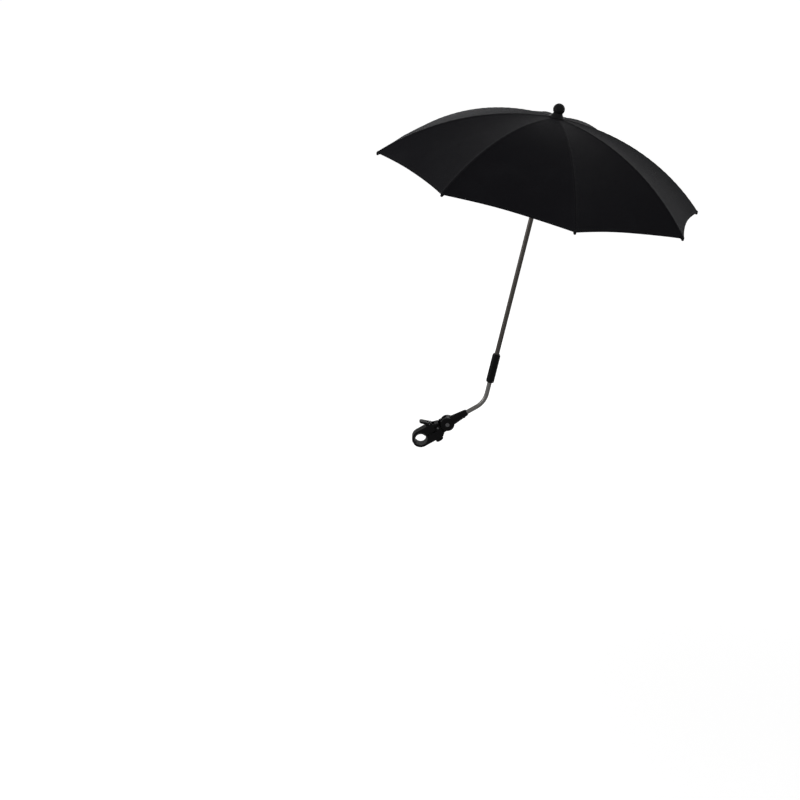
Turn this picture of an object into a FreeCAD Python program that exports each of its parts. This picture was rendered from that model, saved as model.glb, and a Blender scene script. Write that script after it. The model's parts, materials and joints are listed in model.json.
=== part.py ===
"""Pram parasol: an eight-rib folding canopy on a bent, tilting rod with a lever clamp.

Frame: the origin is the centre of the tube that the clamp grips, with Y along that tube, X towards the
leaning side of the pole and Z up. The pole, the bent rod and the clamp lie in the XZ plane. Millimetres.
"""
import FreeCAD, Part
import math
import operator
import os
from types import SimpleNamespace

import Sketcher

Vector = FreeCAD.Vector
Rotation = FreeCAD.Rotation
Placement = FreeCAD.Placement

# Driving dimensions, in millimetres and degrees; a name that ends in share is a proportion
DIMENSIONS = {
    # clearances
    "fit_clearance": 0.05,
    "run_clearance": 0.3,
    "cut_overrun": 2.0,
    "weld_lap": 1.0,
    # stance
    "clamp_angle": 31.0,
    "pole_lean": 12.2,
    "corner_reach": 86.0,
    "pole_reach": 580.0,
    # clamp jaws
    "tube_radius": 11.0,
    "pad_thickness": 2.5,
    "jaw_wall": 4.0,
    "jaw_width": 20.0,
    "jaw_gap": 2.0,
    "heel_drop": 4.5,
    "knuckle_radius": 5.0,
    "knuckle_width": 12.0,
    "jaw_pin_radius": 2.0,
    "jaw_pin_stand": 0.6,
    "pin_setback": 11.0,
    "jaw_pin_height": 3.0,
    "crest_setback": 14.0,
    "block_tail": 0.4,
    "overhang_height": 9.0,
    "overhang_lip": 3.0,
    "neck_top": 3.2,
    "edge_round": 1.2,
    # clamp lever and its bolt
    "bolt_setback": 17.5,
    "bolt_radius": 2.0,
    "bolt_play": 2.2,
    "bolt_tail": 1.5,
    "eye_radius": 3.8,
    "eye_width": 4.8,
    "lever_pin_radius": 1.5,
    "cam_radius": 4.3,
    "cam_throw": 1.6,
    "lever_angle": 135.0,
    "lever_length": 21.0,
    "lever_width": 13.5,
    "lever_root": 2.7,
    "lever_tip": 2.0,
    "lever_corner": 5.0,
    "lever_slot_radius": 7.0,
    "well_depth": 6.0,
    "well_back": 8.0,
    "well_front": 8.6,
    "nut_radius": 8.0,
    "nut_height": 6.5,
    "nut_flute": 1.7,
    "nut_flutes": 10,
    # tilt hinge and socket arm
    "tongue_radius": 12.5,
    "tongue_width": 10.0,
    "ear_radius": 14.0,
    "ear_thickness": 5.0,
    "swing_room": 0.6,
    "slot_reach": 5.0,
    "collar_start": 8.0,
    "collar_length": 45.5,
    "collar_root": 10.2,
    "collar_tip": 6.6,
    "collar_lip": 2.5,
    "socket_floor": 19.0,
    "set_screw_radius": 2.0,
    "set_screw_setback": 10.5,
    "set_screw_stand": 0.8,
    "set_screw_key": 1.1,
    "set_screw_key_depth": 1.5,
    "tilt_bolt_radius": 3.0,
    "tilt_head_radius": 3.9,
    "tilt_head_height": 2.4,
    "tilt_head_rim": 1.0,
    "tilt_head_crown": 8.0,
    "washer_radius": 7.5,
    "washer_thickness": 1.2,
    "knob_hub_radius": 7.5,
    "knob_hub_height": 10.0,
    "knob_wing_reach": 19.0,
    "knob_wing_half": 6.4,
    "knob_wing_height": 7.0,
    "knob_bore_depth": 8.0,
    "knob_turn": 167.0,
    # bent rod and coupling sleeve
    "rod_radius": 4.3,
    "rod_bend_radius": 45.0,
    "sleeve_start": 44.5,
    "sleeve_length": 60.0,
    "sleeve_radius": 8.0,
    "sleeve_foot_radius": 6.2,
    "sleeve_foot": 3.0,
    "sleeve_top_radius": 6.8,
    "sleeve_taper": 3.5,
    "sleeve_step": 28.0,
    # pole and catches
    "pole_radius": 4.5,
    "pole_wall": 0.6,
    "pole_crown": 12.0,
    "catch_length": 24.0,
    "catch_tail": 6.0,
    "catch_nose": 7.1,
    "catch_seat": 3.5,
    "catch_thickness": 0.9,
    "catch_width": 2.4,
    "catch_peak_share": 0.7,
    "catch_flat_share": 0.8,
    "stop_pin_radius": 0.9,
    "stop_pin_length": 12.0,
    "stop_pin_rise": 3.0,
    # top notch, ferrule and crown
    "notch_radius": 12.5,
    "notch_top": 2.0,
    "notch_height": 7.0,
    "notch_slot_start": 6.3,
    "ring_wire_radius": 0.55,
    "crown_washer_radius": 9.0,
    "crown_washer_height": 1.2,
    "ferrule_seat": 3.6,
    "ferrule_skirt_radius": 15.0,
    "ferrule_rim": 1.2,
    "ferrule_neck_radius": 8.5,
    "ferrule_flare": 14.0,
    "ball_radius": 11.0,
    "ball_height": 19.5,
    # ribs, stretchers and the fold
    "rib_count": 8,
    "rib_phase": 6.4,
    "rib_pivot_radius": 9.0,
    "rib_curve_radius": 459.0,
    "rib_arc": 343.0,
    "rib_width": 3.2,
    "rib_top": 1.5,
    "rib_depth": 4.0,
    "rib_wall": 0.6,
    "rib_root_length": 14.0,
    "rib_end_length": 8.0,
    "rib_eye_radius": 1.5,
    "rib_eye_play": 0.2,
    "rivet_arc": 169.0,
    "rivet_drop": 0.9,
    "rivet_radius": 0.6,
    "rivet_head_radius": 1.2,
    "rivet_head_height": 0.5,
    "runner_drop": 134.2,
    "stretcher_height": 3.0,
    "stretcher_width": 2.4,
    "stretcher_tongue": 1.4,
    "stretcher_taper": 16.0,
    "stretcher_gap": 1.2,
    "tip_length": 4.6,
    "tip_radius": 2.0,
    "tip_ball_radius": 2.6,
    "fold_angle": 66.0,
    # runner
    "runner_pivot_radius": 11.0,
    "runner_flange_radius": 13.5,
    "runner_flange_height": 7.0,
    "runner_slot_start": 9.2,
    "runner_slot_width": 2.2,
    "runner_waist": 7.2,
    "runner_grip_radius": 8.8,
    "runner_grip_height": 2.5,
    "runner_skirt": 32.0,
    "runner_bore_play": 0.3,
    # canopy cover
    "cover_lift": 0.9,
    "cover_thickness": 0.8,
    "cover_hub": 9.5,
    "cover_overhang": 5.0,
    "cover_scallop": 9.0,
    "cover_split": 0.15,
    "cover_sag_share": 0.025,
}

OPERATORS = {"+": operator.add, "-": operator.sub, "*": operator.mul, "/": operator.truediv}


class Size:
    """A size with its value and the expression that ties it to the sheet's cells."""

    def __init__(self, value, text):
        self.value = value
        self.text = text

    def joined(self, sign, left, right):
        left, right = as_size(left), as_size(right)
        return Size(OPERATORS[sign](left.value, right.value), f"({left.text} {sign} {right.text})")

    def __add__(self, other):
        return self.joined("+", self, other)

    def __radd__(self, other):
        return self.joined("+", other, self)

    def __sub__(self, other):
        return self.joined("-", self, other)

    def __rsub__(self, other):
        return self.joined("-", other, self)

    def __mul__(self, other):
        return self.joined("*", self, other)

    def __rmul__(self, other):
        return self.joined("*", other, self)

    def __truediv__(self, other):
        return self.joined("/", self, other)

    def __rtruediv__(self, other):
        return self.joined("/", other, self)

    def __neg__(self):
        return self.joined("-", 0, self)


def as_size(number):
    return number if isinstance(number, Size) else Size(number, str(number))


def root(size):
    return Size(math.sqrt(size.value), f"sqrt({size.text})")


def sine(angle):
    return Size(math.sin(math.radians(angle.value)), f"sin({angle.text})")


def cosine(angle):
    return Size(math.cos(math.radians(angle.value)), f"cos({angle.text})")


def angle_of_sine(ratio):
    return Size(math.degrees(math.asin(ratio.value)), f"(asin({ratio.text}) / 1 deg)")


def half_chord(radius, rise):
    """Where a circle about the origin crosses the level at that rise."""
    return root(radius * radius - rise * rise)


doc = FreeCAD.newDocument("pram_parasol")
sheet = doc.addObject("Spreadsheet::Sheet", "dims")
for row, (alias, number) in enumerate(DIMENSIONS.items(), start=1):
    sheet.set(f"A{row}", alias)
    sheet.set(f"B{row}", str(number))
    sheet.setAlias(f"B{row}", alias)
doc.recompute()
D = SimpleNamespace(**{alias: Size(number, f"dims.{alias}") for alias, number in DIMENSIONS.items()})

parts = {}


def bind(target, name, size):
    """Set a property and tie it to the sheet."""
    size = as_size(size)
    setattr(target, name, size.value)
    target.setExpression(name, size.text)


def keep(label, target, placement=Placement()):
    """Register an object as a sub-part at its place."""
    target.Label = label
    target.Placement = placement
    parts[label] = target
    return target


# Sketch and feature helpers

class Arc:
    """A round stretch of an outline to (x, y); turn is 1 to the left and -1 to the right."""

    def __init__(self, x, y, radius, turn):
        self.corner = (as_size(x), as_size(y))
        self.radius = as_size(radius)
        self.turn = turn


def new_body(name):
    return doc.addObject("PartDesign::Body", name)


def new_sketch(body, plane="XZ_Plane", turn=None, about=Vector(0, 0, 1)):
    """A sketch on one of the body's planes, turned by an angle of the sheet."""
    sketch = body.newObject("Sketcher::SketchObject", f"{body.Name}_sketch")
    origin_plane = next(f for f in body.Origin.OriginFeatures if f.Role == plane)
    sketch.AttachmentSupport = [(origin_plane, "")]
    sketch.MapMode = "FlatFace"
    if turn is not None:
        sketch.AttachmentOffset = Placement(Vector(), Rotation(about, turn.value))
        sketch.setExpression("AttachmentOffset.Rotation.Angle", turn.text)
    return sketch


def fix(sketch, kind, edge, point, size):
    number = sketch.addConstraint(Sketcher.Constraint(kind, -1, 1, edge, point, size.value))
    sketch.setExpression(f"Constraints[{number}]", size.text)


def arc_geometry(start, end, radius, turn):
    """The arc's circle and angles, always anticlockwise."""
    chord = end - start
    half = chord.Length / 2
    left = Vector(-chord.y, chord.x, 0) / chord.Length
    height = math.sqrt(max(radius * radius - half * half, 0))
    centre = (start + end) / 2 + left * (turn * height)
    first, last = (start, end) if turn > 0 else (end, start)
    angles = [math.atan2(p.y - centre.y, p.x - centre.x) for p in (first, last)]
    if angles[1] <= angles[0]:
        angles[1] += 2 * math.pi
    return Part.ArcOfCircle(Part.Circle(centre, Vector(0, 0, 1), radius), *angles)


def draw(sketch, start, *steps, closed=True):
    """Draw an outline of lines and arcs with every corner tied to the sheet."""
    corners = [tuple(as_size(c) for c in start)]
    arcs = []
    for step in steps:
        arcs.append(step if isinstance(step, Arc) else None)
        corners.append(step.corner if isinstance(step, Arc) else tuple(as_size(c) for c in step))
    if closed and len(arcs) == len(corners) - 1:
        same = all(abs(a.value - b.value) < 1e-9 for a, b in zip(corners[0], corners[-1]))
        if same:
            corners.pop()
        else:
            arcs.append(None)
    first = sketch.GeometryCount
    ends = []
    for i, arc in enumerate(arcs):
        a, b = (Vector(*(c.value for c in corners[j % len(corners)]), 0) for j in (i, i + 1))
        if arc is None:
            edge = sketch.addGeometry(Part.LineSegment(a, b), False)
            ends.append((edge, 1, 2))
        else:
            edge = sketch.addGeometry(arc_geometry(a, b, arc.radius.value, arc.turn), False)
            ends.append((edge, 1, 2) if arc.turn > 0 else (edge, 2, 1))
    for i, (edge, begin, end) in enumerate(ends):
        if closed or i + 1 < len(ends):
            following = ends[(i + 1) % len(ends)]
            sketch.addConstraint(Sketcher.Constraint("Coincident", edge, end, following[0], following[1]))
        fix(sketch, "DistanceX", edge, begin, corners[i][0])
        fix(sketch, "DistanceY", edge, begin, corners[i][1])
        if arcs[i] is not None:
            number = sketch.addConstraint(Sketcher.Constraint("Radius", edge, arcs[i].radius.value))
            sketch.setExpression(f"Constraints[{number}]", arcs[i].radius.text)
    if not closed:
        edge, _, end = ends[-1]
        fix(sketch, "DistanceX", edge, end, corners[-1][0])
        fix(sketch, "DistanceY", edge, end, corners[-1][1])
    return sketch


def draw_circle(sketch, x, y, radius):
    x, y, radius = as_size(x), as_size(y), as_size(radius)
    circle = Part.Circle(Vector(x.value, y.value, 0), Vector(0, 0, 1), radius.value)
    edge = sketch.addGeometry(circle, False)
    fix(sketch, "DistanceX", edge, 3, x)
    fix(sketch, "DistanceY", edge, 3, y)
    number = sketch.addConstraint(Sketcher.Constraint("Radius", edge, radius.value))
    sketch.setExpression(f"Constraints[{number}]", radius.text)
    return sketch


def rectangle(sketch, x0, y0, x1, y1):
    return draw(sketch, (x0, y0), (x1, y0), (x1, y1), (x0, y1))


def feature(body, kind, sketch):
    made = body.newObject(f"PartDesign::{kind}", f"{body.Name}_{kind.lower()}")
    made.Profile = sketch
    return made


def pad(body, sketch, length, sides="Symmetric"):
    made = feature(body, "Pad", sketch)
    made.SideType = sides
    bind(made, "Length", length)
    return made


def pocket(body, sketch, length, sides="Symmetric"):
    made = feature(body, "Pocket", sketch)
    made.SideType = sides
    bind(made, "Length", length)
    return made


def turn_solid(body, sketch, axis="V_Axis", kind="Revolution"):
    made = feature(body, kind, sketch)
    made.ReferenceAxis = (sketch, [axis])
    made.Angle = 360
    return made


def pattern(body, original, count):
    """Repeat a feature evenly about the body's Z axis."""
    made = body.newObject("PartDesign::PolarPattern", f"{body.Name}_pattern")
    made.Originals = [original]
    axis = next(f for f in body.Origin.OriginFeatures if f.Role == "Z_Axis")
    made.Axis = (axis, [""])
    made.Angle = 360
    bind(made, "Occurrences", count)
    body.Tip = made
    return made


def round_edges(body, radius, chosen):
    """Round the edges of the body's tip that the test picks."""
    doc.recompute()
    base = body.Tip
    names = [f"Edge{i}" for i, edge in enumerate(base.Shape.Edges, start=1) if chosen(edge)]
    made = body.newObject("PartDesign::Fillet", f"{body.Name}_fillet")
    made.Base = (base, names)
    bind(made, "Radius", radius)
    return made


def in_plane(axis, level):
    """An edge test: the whole edge lies at plus or minus that level along the axis."""
    def test(edge):
        box = edge.BoundBox
        low, high = getattr(box, f"{axis}Min"), getattr(box, f"{axis}Max")
        return high - low < level * 1e-6 and abs(abs(low) - level) < level * 1e-6
    return test


def turned(name, start, *steps):
    """A body of revolution about its own Z axis."""
    body = new_body(name)
    turn_solid(body, draw(new_sketch(body), start, *steps))
    return body


def round_bar(name, radius, length):
    """A round bar centred on the origin, along Y, with chamfered ends."""
    body = new_body(name)
    bevel = radius / 4
    half = length / 2
    sketch = draw(
        new_sketch(body), (0, -half), (radius - bevel, -half), (radius, bevel - half),
        (radius, half - bevel), (radius - bevel, half), (0, half),
    )
    turn_solid(body, sketch)
    return body


# Places of the sub-assemblies

Y_AXIS, Z_AXIS = Vector(0, 1, 0), Vector(0, 0, 1)
QUARTER_TURN = 90
LIE_ALONG_Y = Rotation(Vector(1, 0, 0), -QUARTER_TURN)


def rising(reach, rise):
    """A point in the XZ plane at that reach and angle above X."""
    angle = math.radians(rise)
    return Vector(reach * math.cos(angle), 0, reach * math.sin(angle))


def along(placement, x=0.0, y=0.0, z=0.0, rotation=Rotation()):
    return placement.multiply(Placement(Vector(x, y, z), rotation))


seat_radius = D.tube_radius + D.pad_thickness
bolt_reach = seat_radius + D.bolt_setback
jaw_pin_reach = bolt_reach + D.pin_setback
block_end = jaw_pin_reach + D.knuckle_radius + D.block_tail
hinge_reach = block_end + D.swing_room + D.ear_radius

rise = D.clamp_angle.value
upright = QUARTER_TURN - D.pole_lean.value
hinge_point = rising(hinge_reach.value, rise)
corner_point = hinge_point + rising(D.corner_reach.value, rise)
clamp_frame = Placement(Vector(), Rotation(Y_AXIS, -rise))
arm_frame = Placement(hinge_point, Rotation(Y_AXIS, -rise))
leaning = Rotation(Y_AXIS, D.pole_lean.value)
pole_frame = Placement(corner_point + rising(D.pole_reach.value, upright), leaning)
sleeve_frame = Placement(corner_point + rising(D.sleeve_start.value, upright), leaning)


def rib_frame(number):
    """The frame of one rib: X outwards, Z along the pole."""
    turn = D.rib_phase.value + 360 / D.rib_count.value * (number - 1)
    return pole_frame.multiply(Placement(Vector(), Rotation(Z_AXIS, turn)))


# Clamp: lower jaw, upper jaw, pads and hinge pin

split = D.jaw_gap / 2
shell_radius = seat_radius + D.jaw_wall
seat_edge = half_chord(seat_radius, split)
shell_edge = half_chord(shell_radius, split)
heel_z = D.heel_drop - shell_radius
pin_left, pin_right = jaw_pin_reach - D.knuckle_radius, jaw_pin_reach + D.knuckle_radius
pin_top, pin_low = D.jaw_pin_height + D.knuckle_radius, D.jaw_pin_height - D.knuckle_radius
knuckle_room = D.run_clearance + D.fit_clearance * 4
jaw_pin_bore = D.jaw_pin_radius + D.fit_clearance
jaw_end = pin_left - knuckle_room
through = D.jaw_width + D.cut_overrun * 2
lever_pin_length = D.lever_width + D.jaw_pin_stand * 2
well_floor = shell_radius - D.well_depth


def make_clamp_body():
    body = new_body("clamp_body")
    block = draw(
        new_sketch(body), (seat_edge, -split), (block_end, -split), (block_end, heel_z),
        (jaw_pin_reach, -shell_radius), (0, -shell_radius), Arc(-shell_edge, -split, shell_radius, -1),
        (-seat_edge, -split), Arc(seat_edge, -split, seat_radius, 1),
    )
    pad(body, block, D.jaw_width)
    round_edges(body, D.edge_round, in_plane("Y", D.jaw_width.value / 2))
    lugs = draw(
        new_sketch(body), (pin_left, -split - D.weld_lap), (pin_right, -split - D.weld_lap),
        (pin_right, D.jaw_pin_height), Arc(jaw_pin_reach, pin_top, D.knuckle_radius, 1),
        Arc(pin_left, D.jaw_pin_height, D.knuckle_radius, 1),
    )
    pad(body, lugs, D.jaw_width - D.edge_round * 2)
    gap = rectangle(
        new_sketch(body), pin_left - knuckle_room, pin_low - knuckle_room,
        pin_right + knuckle_room, pin_top + D.cut_overrun,
    )
    pocket(body, gap, D.knuckle_width + D.run_clearance * 2)
    right, top = hinge_reach + D.tongue_radius, D.tongue_radius
    tongue = draw(
        new_sketch(body), (block_end - D.weld_lap, heel_z), (hinge_reach, -top),
        Arc(right, 0, D.tongue_radius, 1), Arc(hinge_reach, top, D.tongue_radius, 1),
        Arc(hinge_reach - D.tongue_radius, 0, D.tongue_radius, 1), (block_end - D.weld_lap, -D.neck_top),
    )
    pad(body, tongue, D.tongue_width)
    holes = draw_circle(new_sketch(body), jaw_pin_reach, D.jaw_pin_height, jaw_pin_bore)
    draw_circle(holes, hinge_reach, 0, D.tilt_bolt_radius + D.fit_clearance)
    pocket(body, holes, through)
    shaft = draw_circle(new_sketch(body, "XY_Plane"), bolt_reach, 0, D.bolt_radius + D.run_clearance)
    pocket(body, shaft, shell_radius * 2 + D.cut_overrun)
    return body


def make_clamp_jaw():
    body = new_body("clamp_jaw")
    block = draw(
        new_sketch(body), (seat_edge, split), Arc(-seat_edge, split, seat_radius, 1), (-shell_edge, split),
        Arc(0, shell_radius, shell_radius, -1), (jaw_pin_reach - D.crest_setback, shell_radius),
        (pin_right, D.overhang_height + D.overhang_lip), (pin_right, D.overhang_height),
        (jaw_end, D.overhang_height), (jaw_end, split),
    )
    pad(body, block, D.jaw_width)
    round_edges(body, D.edge_round, in_plane("Y", D.jaw_width.value / 2))
    knuckle = draw(
        new_sketch(body), (jaw_end - D.weld_lap, split), (jaw_pin_reach, pin_low),
        Arc(pin_right, D.jaw_pin_height, D.knuckle_radius, 1), (pin_right, D.overhang_height + D.weld_lap),
        (jaw_end - D.weld_lap, D.overhang_height + D.weld_lap),
    )
    pad(body, knuckle, D.knuckle_width)
    hole = draw_circle(new_sketch(body), jaw_pin_reach, D.jaw_pin_height, jaw_pin_bore)
    pocket(body, hole, through)
    reach, side = D.bolt_radius + D.bolt_play, D.bolt_radius + D.run_clearance
    slot = rectangle(new_sketch(body, "XY_Plane"), bolt_reach - reach, -side, bolt_reach + reach, side)
    pocket(body, slot, shell_radius * 2 + D.cut_overrun)
    well = rectangle(
        new_sketch(body), bolt_reach - D.well_back, well_floor, bolt_reach + D.well_front,
        shell_radius + D.cut_overrun,
    )
    pocket(body, well, lever_pin_length + D.run_clearance * 2)
    return body


def make_pad(name):
    """A rubber liner that fills the lower half of the jaws' seat."""
    body = new_body(name)
    level = -split - D.run_clearance
    outer, inner = seat_radius - D.fit_clearance, D.tube_radius
    outer_edge, inner_edge = half_chord(outer, level), half_chord(inner, level)
    liner = draw(
        new_sketch(body), (-outer_edge, level), Arc(outer_edge, level, outer, 1), (inner_edge, level),
        Arc(-inner_edge, level, inner, -1),
    )
    pad(body, liner, D.jaw_width - D.edge_round * 2)
    return body


def add_clamp():
    keep("clamp_body", make_clamp_body(), clamp_frame)
    keep("clamp_jaw", make_clamp_jaw(), clamp_frame)
    keep("lower_pad", make_pad("lower_pad"), clamp_frame)
    keep("upper_pad", make_pad("upper_pad"), along(clamp_frame, rotation=Rotation(Y_AXIS, 180)))
    pin = round_bar("jaw_pin", D.jaw_pin_radius, D.jaw_width + D.jaw_pin_stand * 2)
    keep("jaw_pin", pin, along(clamp_frame, jaw_pin_reach.value, 0, D.jaw_pin_height.value, LIE_ALONG_Y))


# Clamp lever, its bolt and the adjuster nut

lever_z = well_floor + D.run_clearance + D.cam_radius + D.cam_throw
nut_top = -shell_radius - D.run_clearance
nut_low = nut_top - D.nut_height


def make_clamp_bolt():
    body = new_body("clamp_bolt")
    eye = draw_circle(new_sketch(body), 0, lever_z, D.eye_radius)
    pad(body, eye, D.eye_width)
    tail = nut_low - D.bolt_tail
    shank = rectangle(new_sketch(body), 0, tail, D.bolt_radius, lever_z)
    turn_solid(body, shank)
    hole = draw_circle(new_sketch(body), 0, lever_z, D.lever_pin_radius + D.fit_clearance)
    pocket(body, hole, D.eye_width + D.cut_overrun)
    return body


def make_clamp_lever():
    """A cam with two cheeks and a paddle; its own origin is the lever pin."""
    body = new_body("clamp_lever")
    cam = draw_circle(new_sketch(body), 0, -D.cam_throw, D.cam_radius)
    pad(body, cam, D.lever_width)
    tip = D.lever_length - D.lever_tip
    paddle = draw(
        new_sketch(body, turn=D.lever_angle), (0, -D.lever_root), (tip, -D.lever_tip),
        Arc(D.lever_length, 0, D.lever_tip, 1), Arc(tip, D.lever_tip, D.lever_tip, 1), (0, D.lever_root),
    )
    pad(body, paddle, D.lever_width)
    corners = new_sketch(body, "XY_Plane", D.lever_angle, Vector(0, -1, 0))
    start, far = D.lever_length - D.lever_corner, D.lever_length + D.cut_overrun
    for sign in (1, -1):
        side, inner = D.lever_width / 2 * sign, (D.lever_width / 2 - D.lever_corner) * sign
        beyond = side + D.cut_overrun * sign
        draw(
            corners, (start, side), Arc(D.lever_length, inner, D.lever_corner, -sign), (far, inner),
            (far, beyond), (start, beyond),
        )
    pocket(body, corners, D.lever_root * 2 + D.cut_overrun)
    slot = draw_circle(new_sketch(body), 0, 0, D.lever_slot_radius)
    pocket(body, slot, D.eye_width + D.run_clearance * 2)
    hole = draw_circle(new_sketch(body), 0, 0, D.lever_pin_radius + D.fit_clearance)
    pocket(body, hole, D.lever_width + D.cut_overrun)
    return body


def make_adjuster_nut():
    """A fluted thumb nut; its own origin is its top face."""
    body = new_body("adjuster_nut")
    bevel = D.nut_flute / 2
    bore = D.bolt_radius + D.fit_clearance
    profile = draw(
        new_sketch(body), (bore, 0), (D.nut_radius - bevel, 0), (D.nut_radius, -bevel),
        (D.nut_radius, bevel - D.nut_height), (D.nut_radius - bevel, -D.nut_height), (bore, -D.nut_height),
    )
    turn_solid(body, profile)
    flute = draw_circle(new_sketch(body, "XY_Plane"), D.nut_radius, 0, D.nut_flute)
    pattern(body, pocket(body, flute, D.nut_height * 2 + D.cut_overrun), D.nut_flutes)
    return body


def add_clamp_lever():
    reach = bolt_reach.value
    at_pin = along(clamp_frame, reach, 0, lever_z.value)
    keep("clamp_bolt", make_clamp_bolt(), along(clamp_frame, reach))
    keep("clamp_lever", make_clamp_lever(), at_pin)
    pin = round_bar("lever_pin", D.lever_pin_radius, lever_pin_length)
    keep("lever_pin", pin, along(at_pin, rotation=LIE_ALONG_Y))
    keep("adjuster_nut", make_adjuster_nut(), along(clamp_frame, reach, 0, nut_top.value))


# Tilt hinge: socket arm, set screw, bolt, washer and knob

fork_gap = D.tongue_width + D.run_clearance * 2
fork_width = fork_gap + D.ear_thickness * 2
rod_bore = D.rod_radius + D.fit_clearance
set_screw_reach = D.collar_length - D.set_screw_setback
lip_reach = D.collar_length - D.collar_lip
collar_fall = (D.collar_root - D.collar_tip) / (lip_reach - D.collar_start)
collar_at_screw = D.collar_root - collar_fall * (set_screw_reach - D.collar_start)


def make_socket_arm():
    """Round fork ears on the clamp's tongue and a tapered collar along X; its own origin is the hinge."""
    body = new_body("socket_arm")
    ear = D.ear_radius
    pad(body, draw_circle(new_sketch(body), 0, 0, ear), fork_width)
    round_edges(body, D.edge_round, in_plane("Y", fork_width.value / 2))
    collar = draw(
        new_sketch(body), (D.collar_start, 0), (D.collar_start, D.collar_root), (lip_reach, D.collar_tip),
        (D.collar_length, D.collar_tip - D.collar_lip / 2), (D.collar_length, 0),
    )
    turn_solid(body, collar, "H_Axis")
    bore = rectangle(new_sketch(body), D.socket_floor, 0, D.collar_length + D.cut_overrun, rod_bore)
    turn_solid(body, bore, "H_Axis", "Groove")
    room = D.tongue_radius + D.swing_room
    hollow = draw_circle(new_sketch(body), 0, 0, room)
    pocket(body, hollow, fork_gap)
    reach = ear + D.cut_overrun
    mouth = draw(
        new_sketch(body), (-reach, -reach), (room, -reach), (room, 0), (D.slot_reach, 0),
        (D.slot_reach, reach), (-reach, reach),
    )
    pocket(body, mouth, fork_gap)
    hole = draw_circle(new_sketch(body), 0, 0, D.tilt_bolt_radius + D.fit_clearance)
    pocket(body, hole, fork_width + D.cut_overrun)
    thread = D.set_screw_radius + D.fit_clearance
    screw = draw_circle(new_sketch(body, "XY_Plane"), set_screw_reach, 0, thread)
    pocket(body, screw, D.collar_root * 2, "One side")
    return body


def make_set_screw():
    """A headless key screw; its own origin is on the rod's axis and it points down."""
    tip, end = -rod_bore, -collar_at_screw - D.set_screw_stand
    floor = end + D.set_screw_key_depth
    return turned(
        "arm_set_screw", (0, tip), (D.set_screw_radius, tip), (D.set_screw_radius, end),
        (D.set_screw_key, end), (D.set_screw_key, floor), (0, floor),
    )


def make_tilt_bolt():
    """A domed bolt; its own origin is under the head."""
    rim = D.tilt_head_rim - D.tilt_head_height
    length = fork_width + D.washer_thickness + D.knob_bore_depth
    return turned(
        "tilt_bolt", (0, length), (D.tilt_bolt_radius, length), (D.tilt_bolt_radius, 0),
        (D.tilt_head_radius, 0), (D.tilt_head_radius, rim),
        Arc(0, -D.tilt_head_height, D.tilt_head_crown, -1),
    )


def make_tilt_knob():
    """A two-winged knob with a blind bore; its own origin is its bearing face."""
    body = new_body("tilt_knob")
    half, reach = D.knob_wing_half, D.knob_wing_reach
    inner = reach - half
    wings = draw(
        new_sketch(body, "XY_Plane"), (-inner, -half), (inner, -half), Arc(reach, 0, half, 1),
        Arc(inner, half, half, 1), (-inner, half), Arc(-reach, 0, half, 1), Arc(-inner, -half, half, 1),
    )
    pad(body, wings, D.knob_wing_height, "One side")
    round_edges(body, D.edge_round, in_plane("Z", D.knob_wing_height.value))
    hub = draw_circle(new_sketch(body, "XY_Plane"), 0, 0, D.knob_hub_radius)
    pad(body, hub, D.knob_hub_height, "One side")
    round_edges(body, D.edge_round, in_plane("Z", D.knob_hub_height.value))
    bore = draw_circle(new_sketch(body, "XY_Plane"), 0, 0, D.tilt_bolt_radius + D.fit_clearance)
    made = pocket(body, bore, D.knob_bore_depth, "One side")
    made.Reversed = True
    return body


def add_tilt_hinge():
    keep("socket_arm", make_socket_arm(), arm_frame)
    keep("arm_set_screw", make_set_screw(), along(arm_frame, set_screw_reach.value))
    face = fork_width.value / 2
    clear = D.fit_clearance.value
    keep("tilt_bolt", make_tilt_bolt(), along(arm_frame, 0, -face - clear, 0, LIE_ALONG_Y))
    thick = D.washer_thickness
    bore = D.tilt_bolt_radius + D.fit_clearance
    washer = turned("tilt_washer", (bore, 0), (D.washer_radius, 0), (D.washer_radius, thick), (bore, thick))
    keep("tilt_washer", washer, along(arm_frame, 0, face + clear, 0, LIE_ALONG_Y))
    turn = LIE_ALONG_Y.multiply(Rotation(Z_AXIS, -D.knob_turn.value))
    keep("tilt_knob", make_tilt_knob(), along(arm_frame, 0, face + thick.value + clear * 2, 0, turn))


# Bent rod and coupling sleeve

bend = QUARTER_TURN - D.clamp_angle - D.pole_lean


def make_bent_rod():
    """A round rod bent once; its own origin is its end in the socket, with X along the socket."""
    body = new_body("bent_rod")
    radius = D.rod_bend_radius
    tangent = radius * sine(bend) / (1 + cosine(bend))
    start = D.corner_reach - D.socket_floor - D.fit_clearance
    upper = D.sleeve_start + D.sleeve_step - D.run_clearance
    arc_end = (start + tangent * cosine(bend), tangent * sine(bend))
    rod_end = (start + upper * cosine(bend), upper * sine(bend))
    path = draw(
        new_sketch(body), (0, 0), (start - tangent, 0), Arc(*arc_end, radius, 1), rod_end, closed=False,
    )
    profile = draw_circle(new_sketch(body, "YZ_Plane"), 0, 0, D.rod_radius)
    doc.recompute()
    pipe = feature(body, "AdditivePipe", profile)
    pipe.Spine = (path, ["Edge1", "Edge2", "Edge3"])
    return body


def make_coupling_sleeve():
    """A moulded sleeve with a stepped bore; its own origin is its lower end."""
    rod_side, pole_side = D.rod_radius + D.fit_clearance, D.pole_radius + D.fit_clearance
    shoulder = D.sleeve_length - D.sleeve_taper
    return turned(
        "coupling_sleeve", (rod_side, 0), (D.sleeve_foot_radius, 0),
        Arc(D.sleeve_radius, D.sleeve_foot, D.sleeve_foot, 1), (D.sleeve_radius, shoulder),
        (D.sleeve_top_radius, D.sleeve_length), (pole_side, D.sleeve_length), (pole_side, D.sleeve_step),
        (rod_side, D.sleeve_step),
    )


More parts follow.
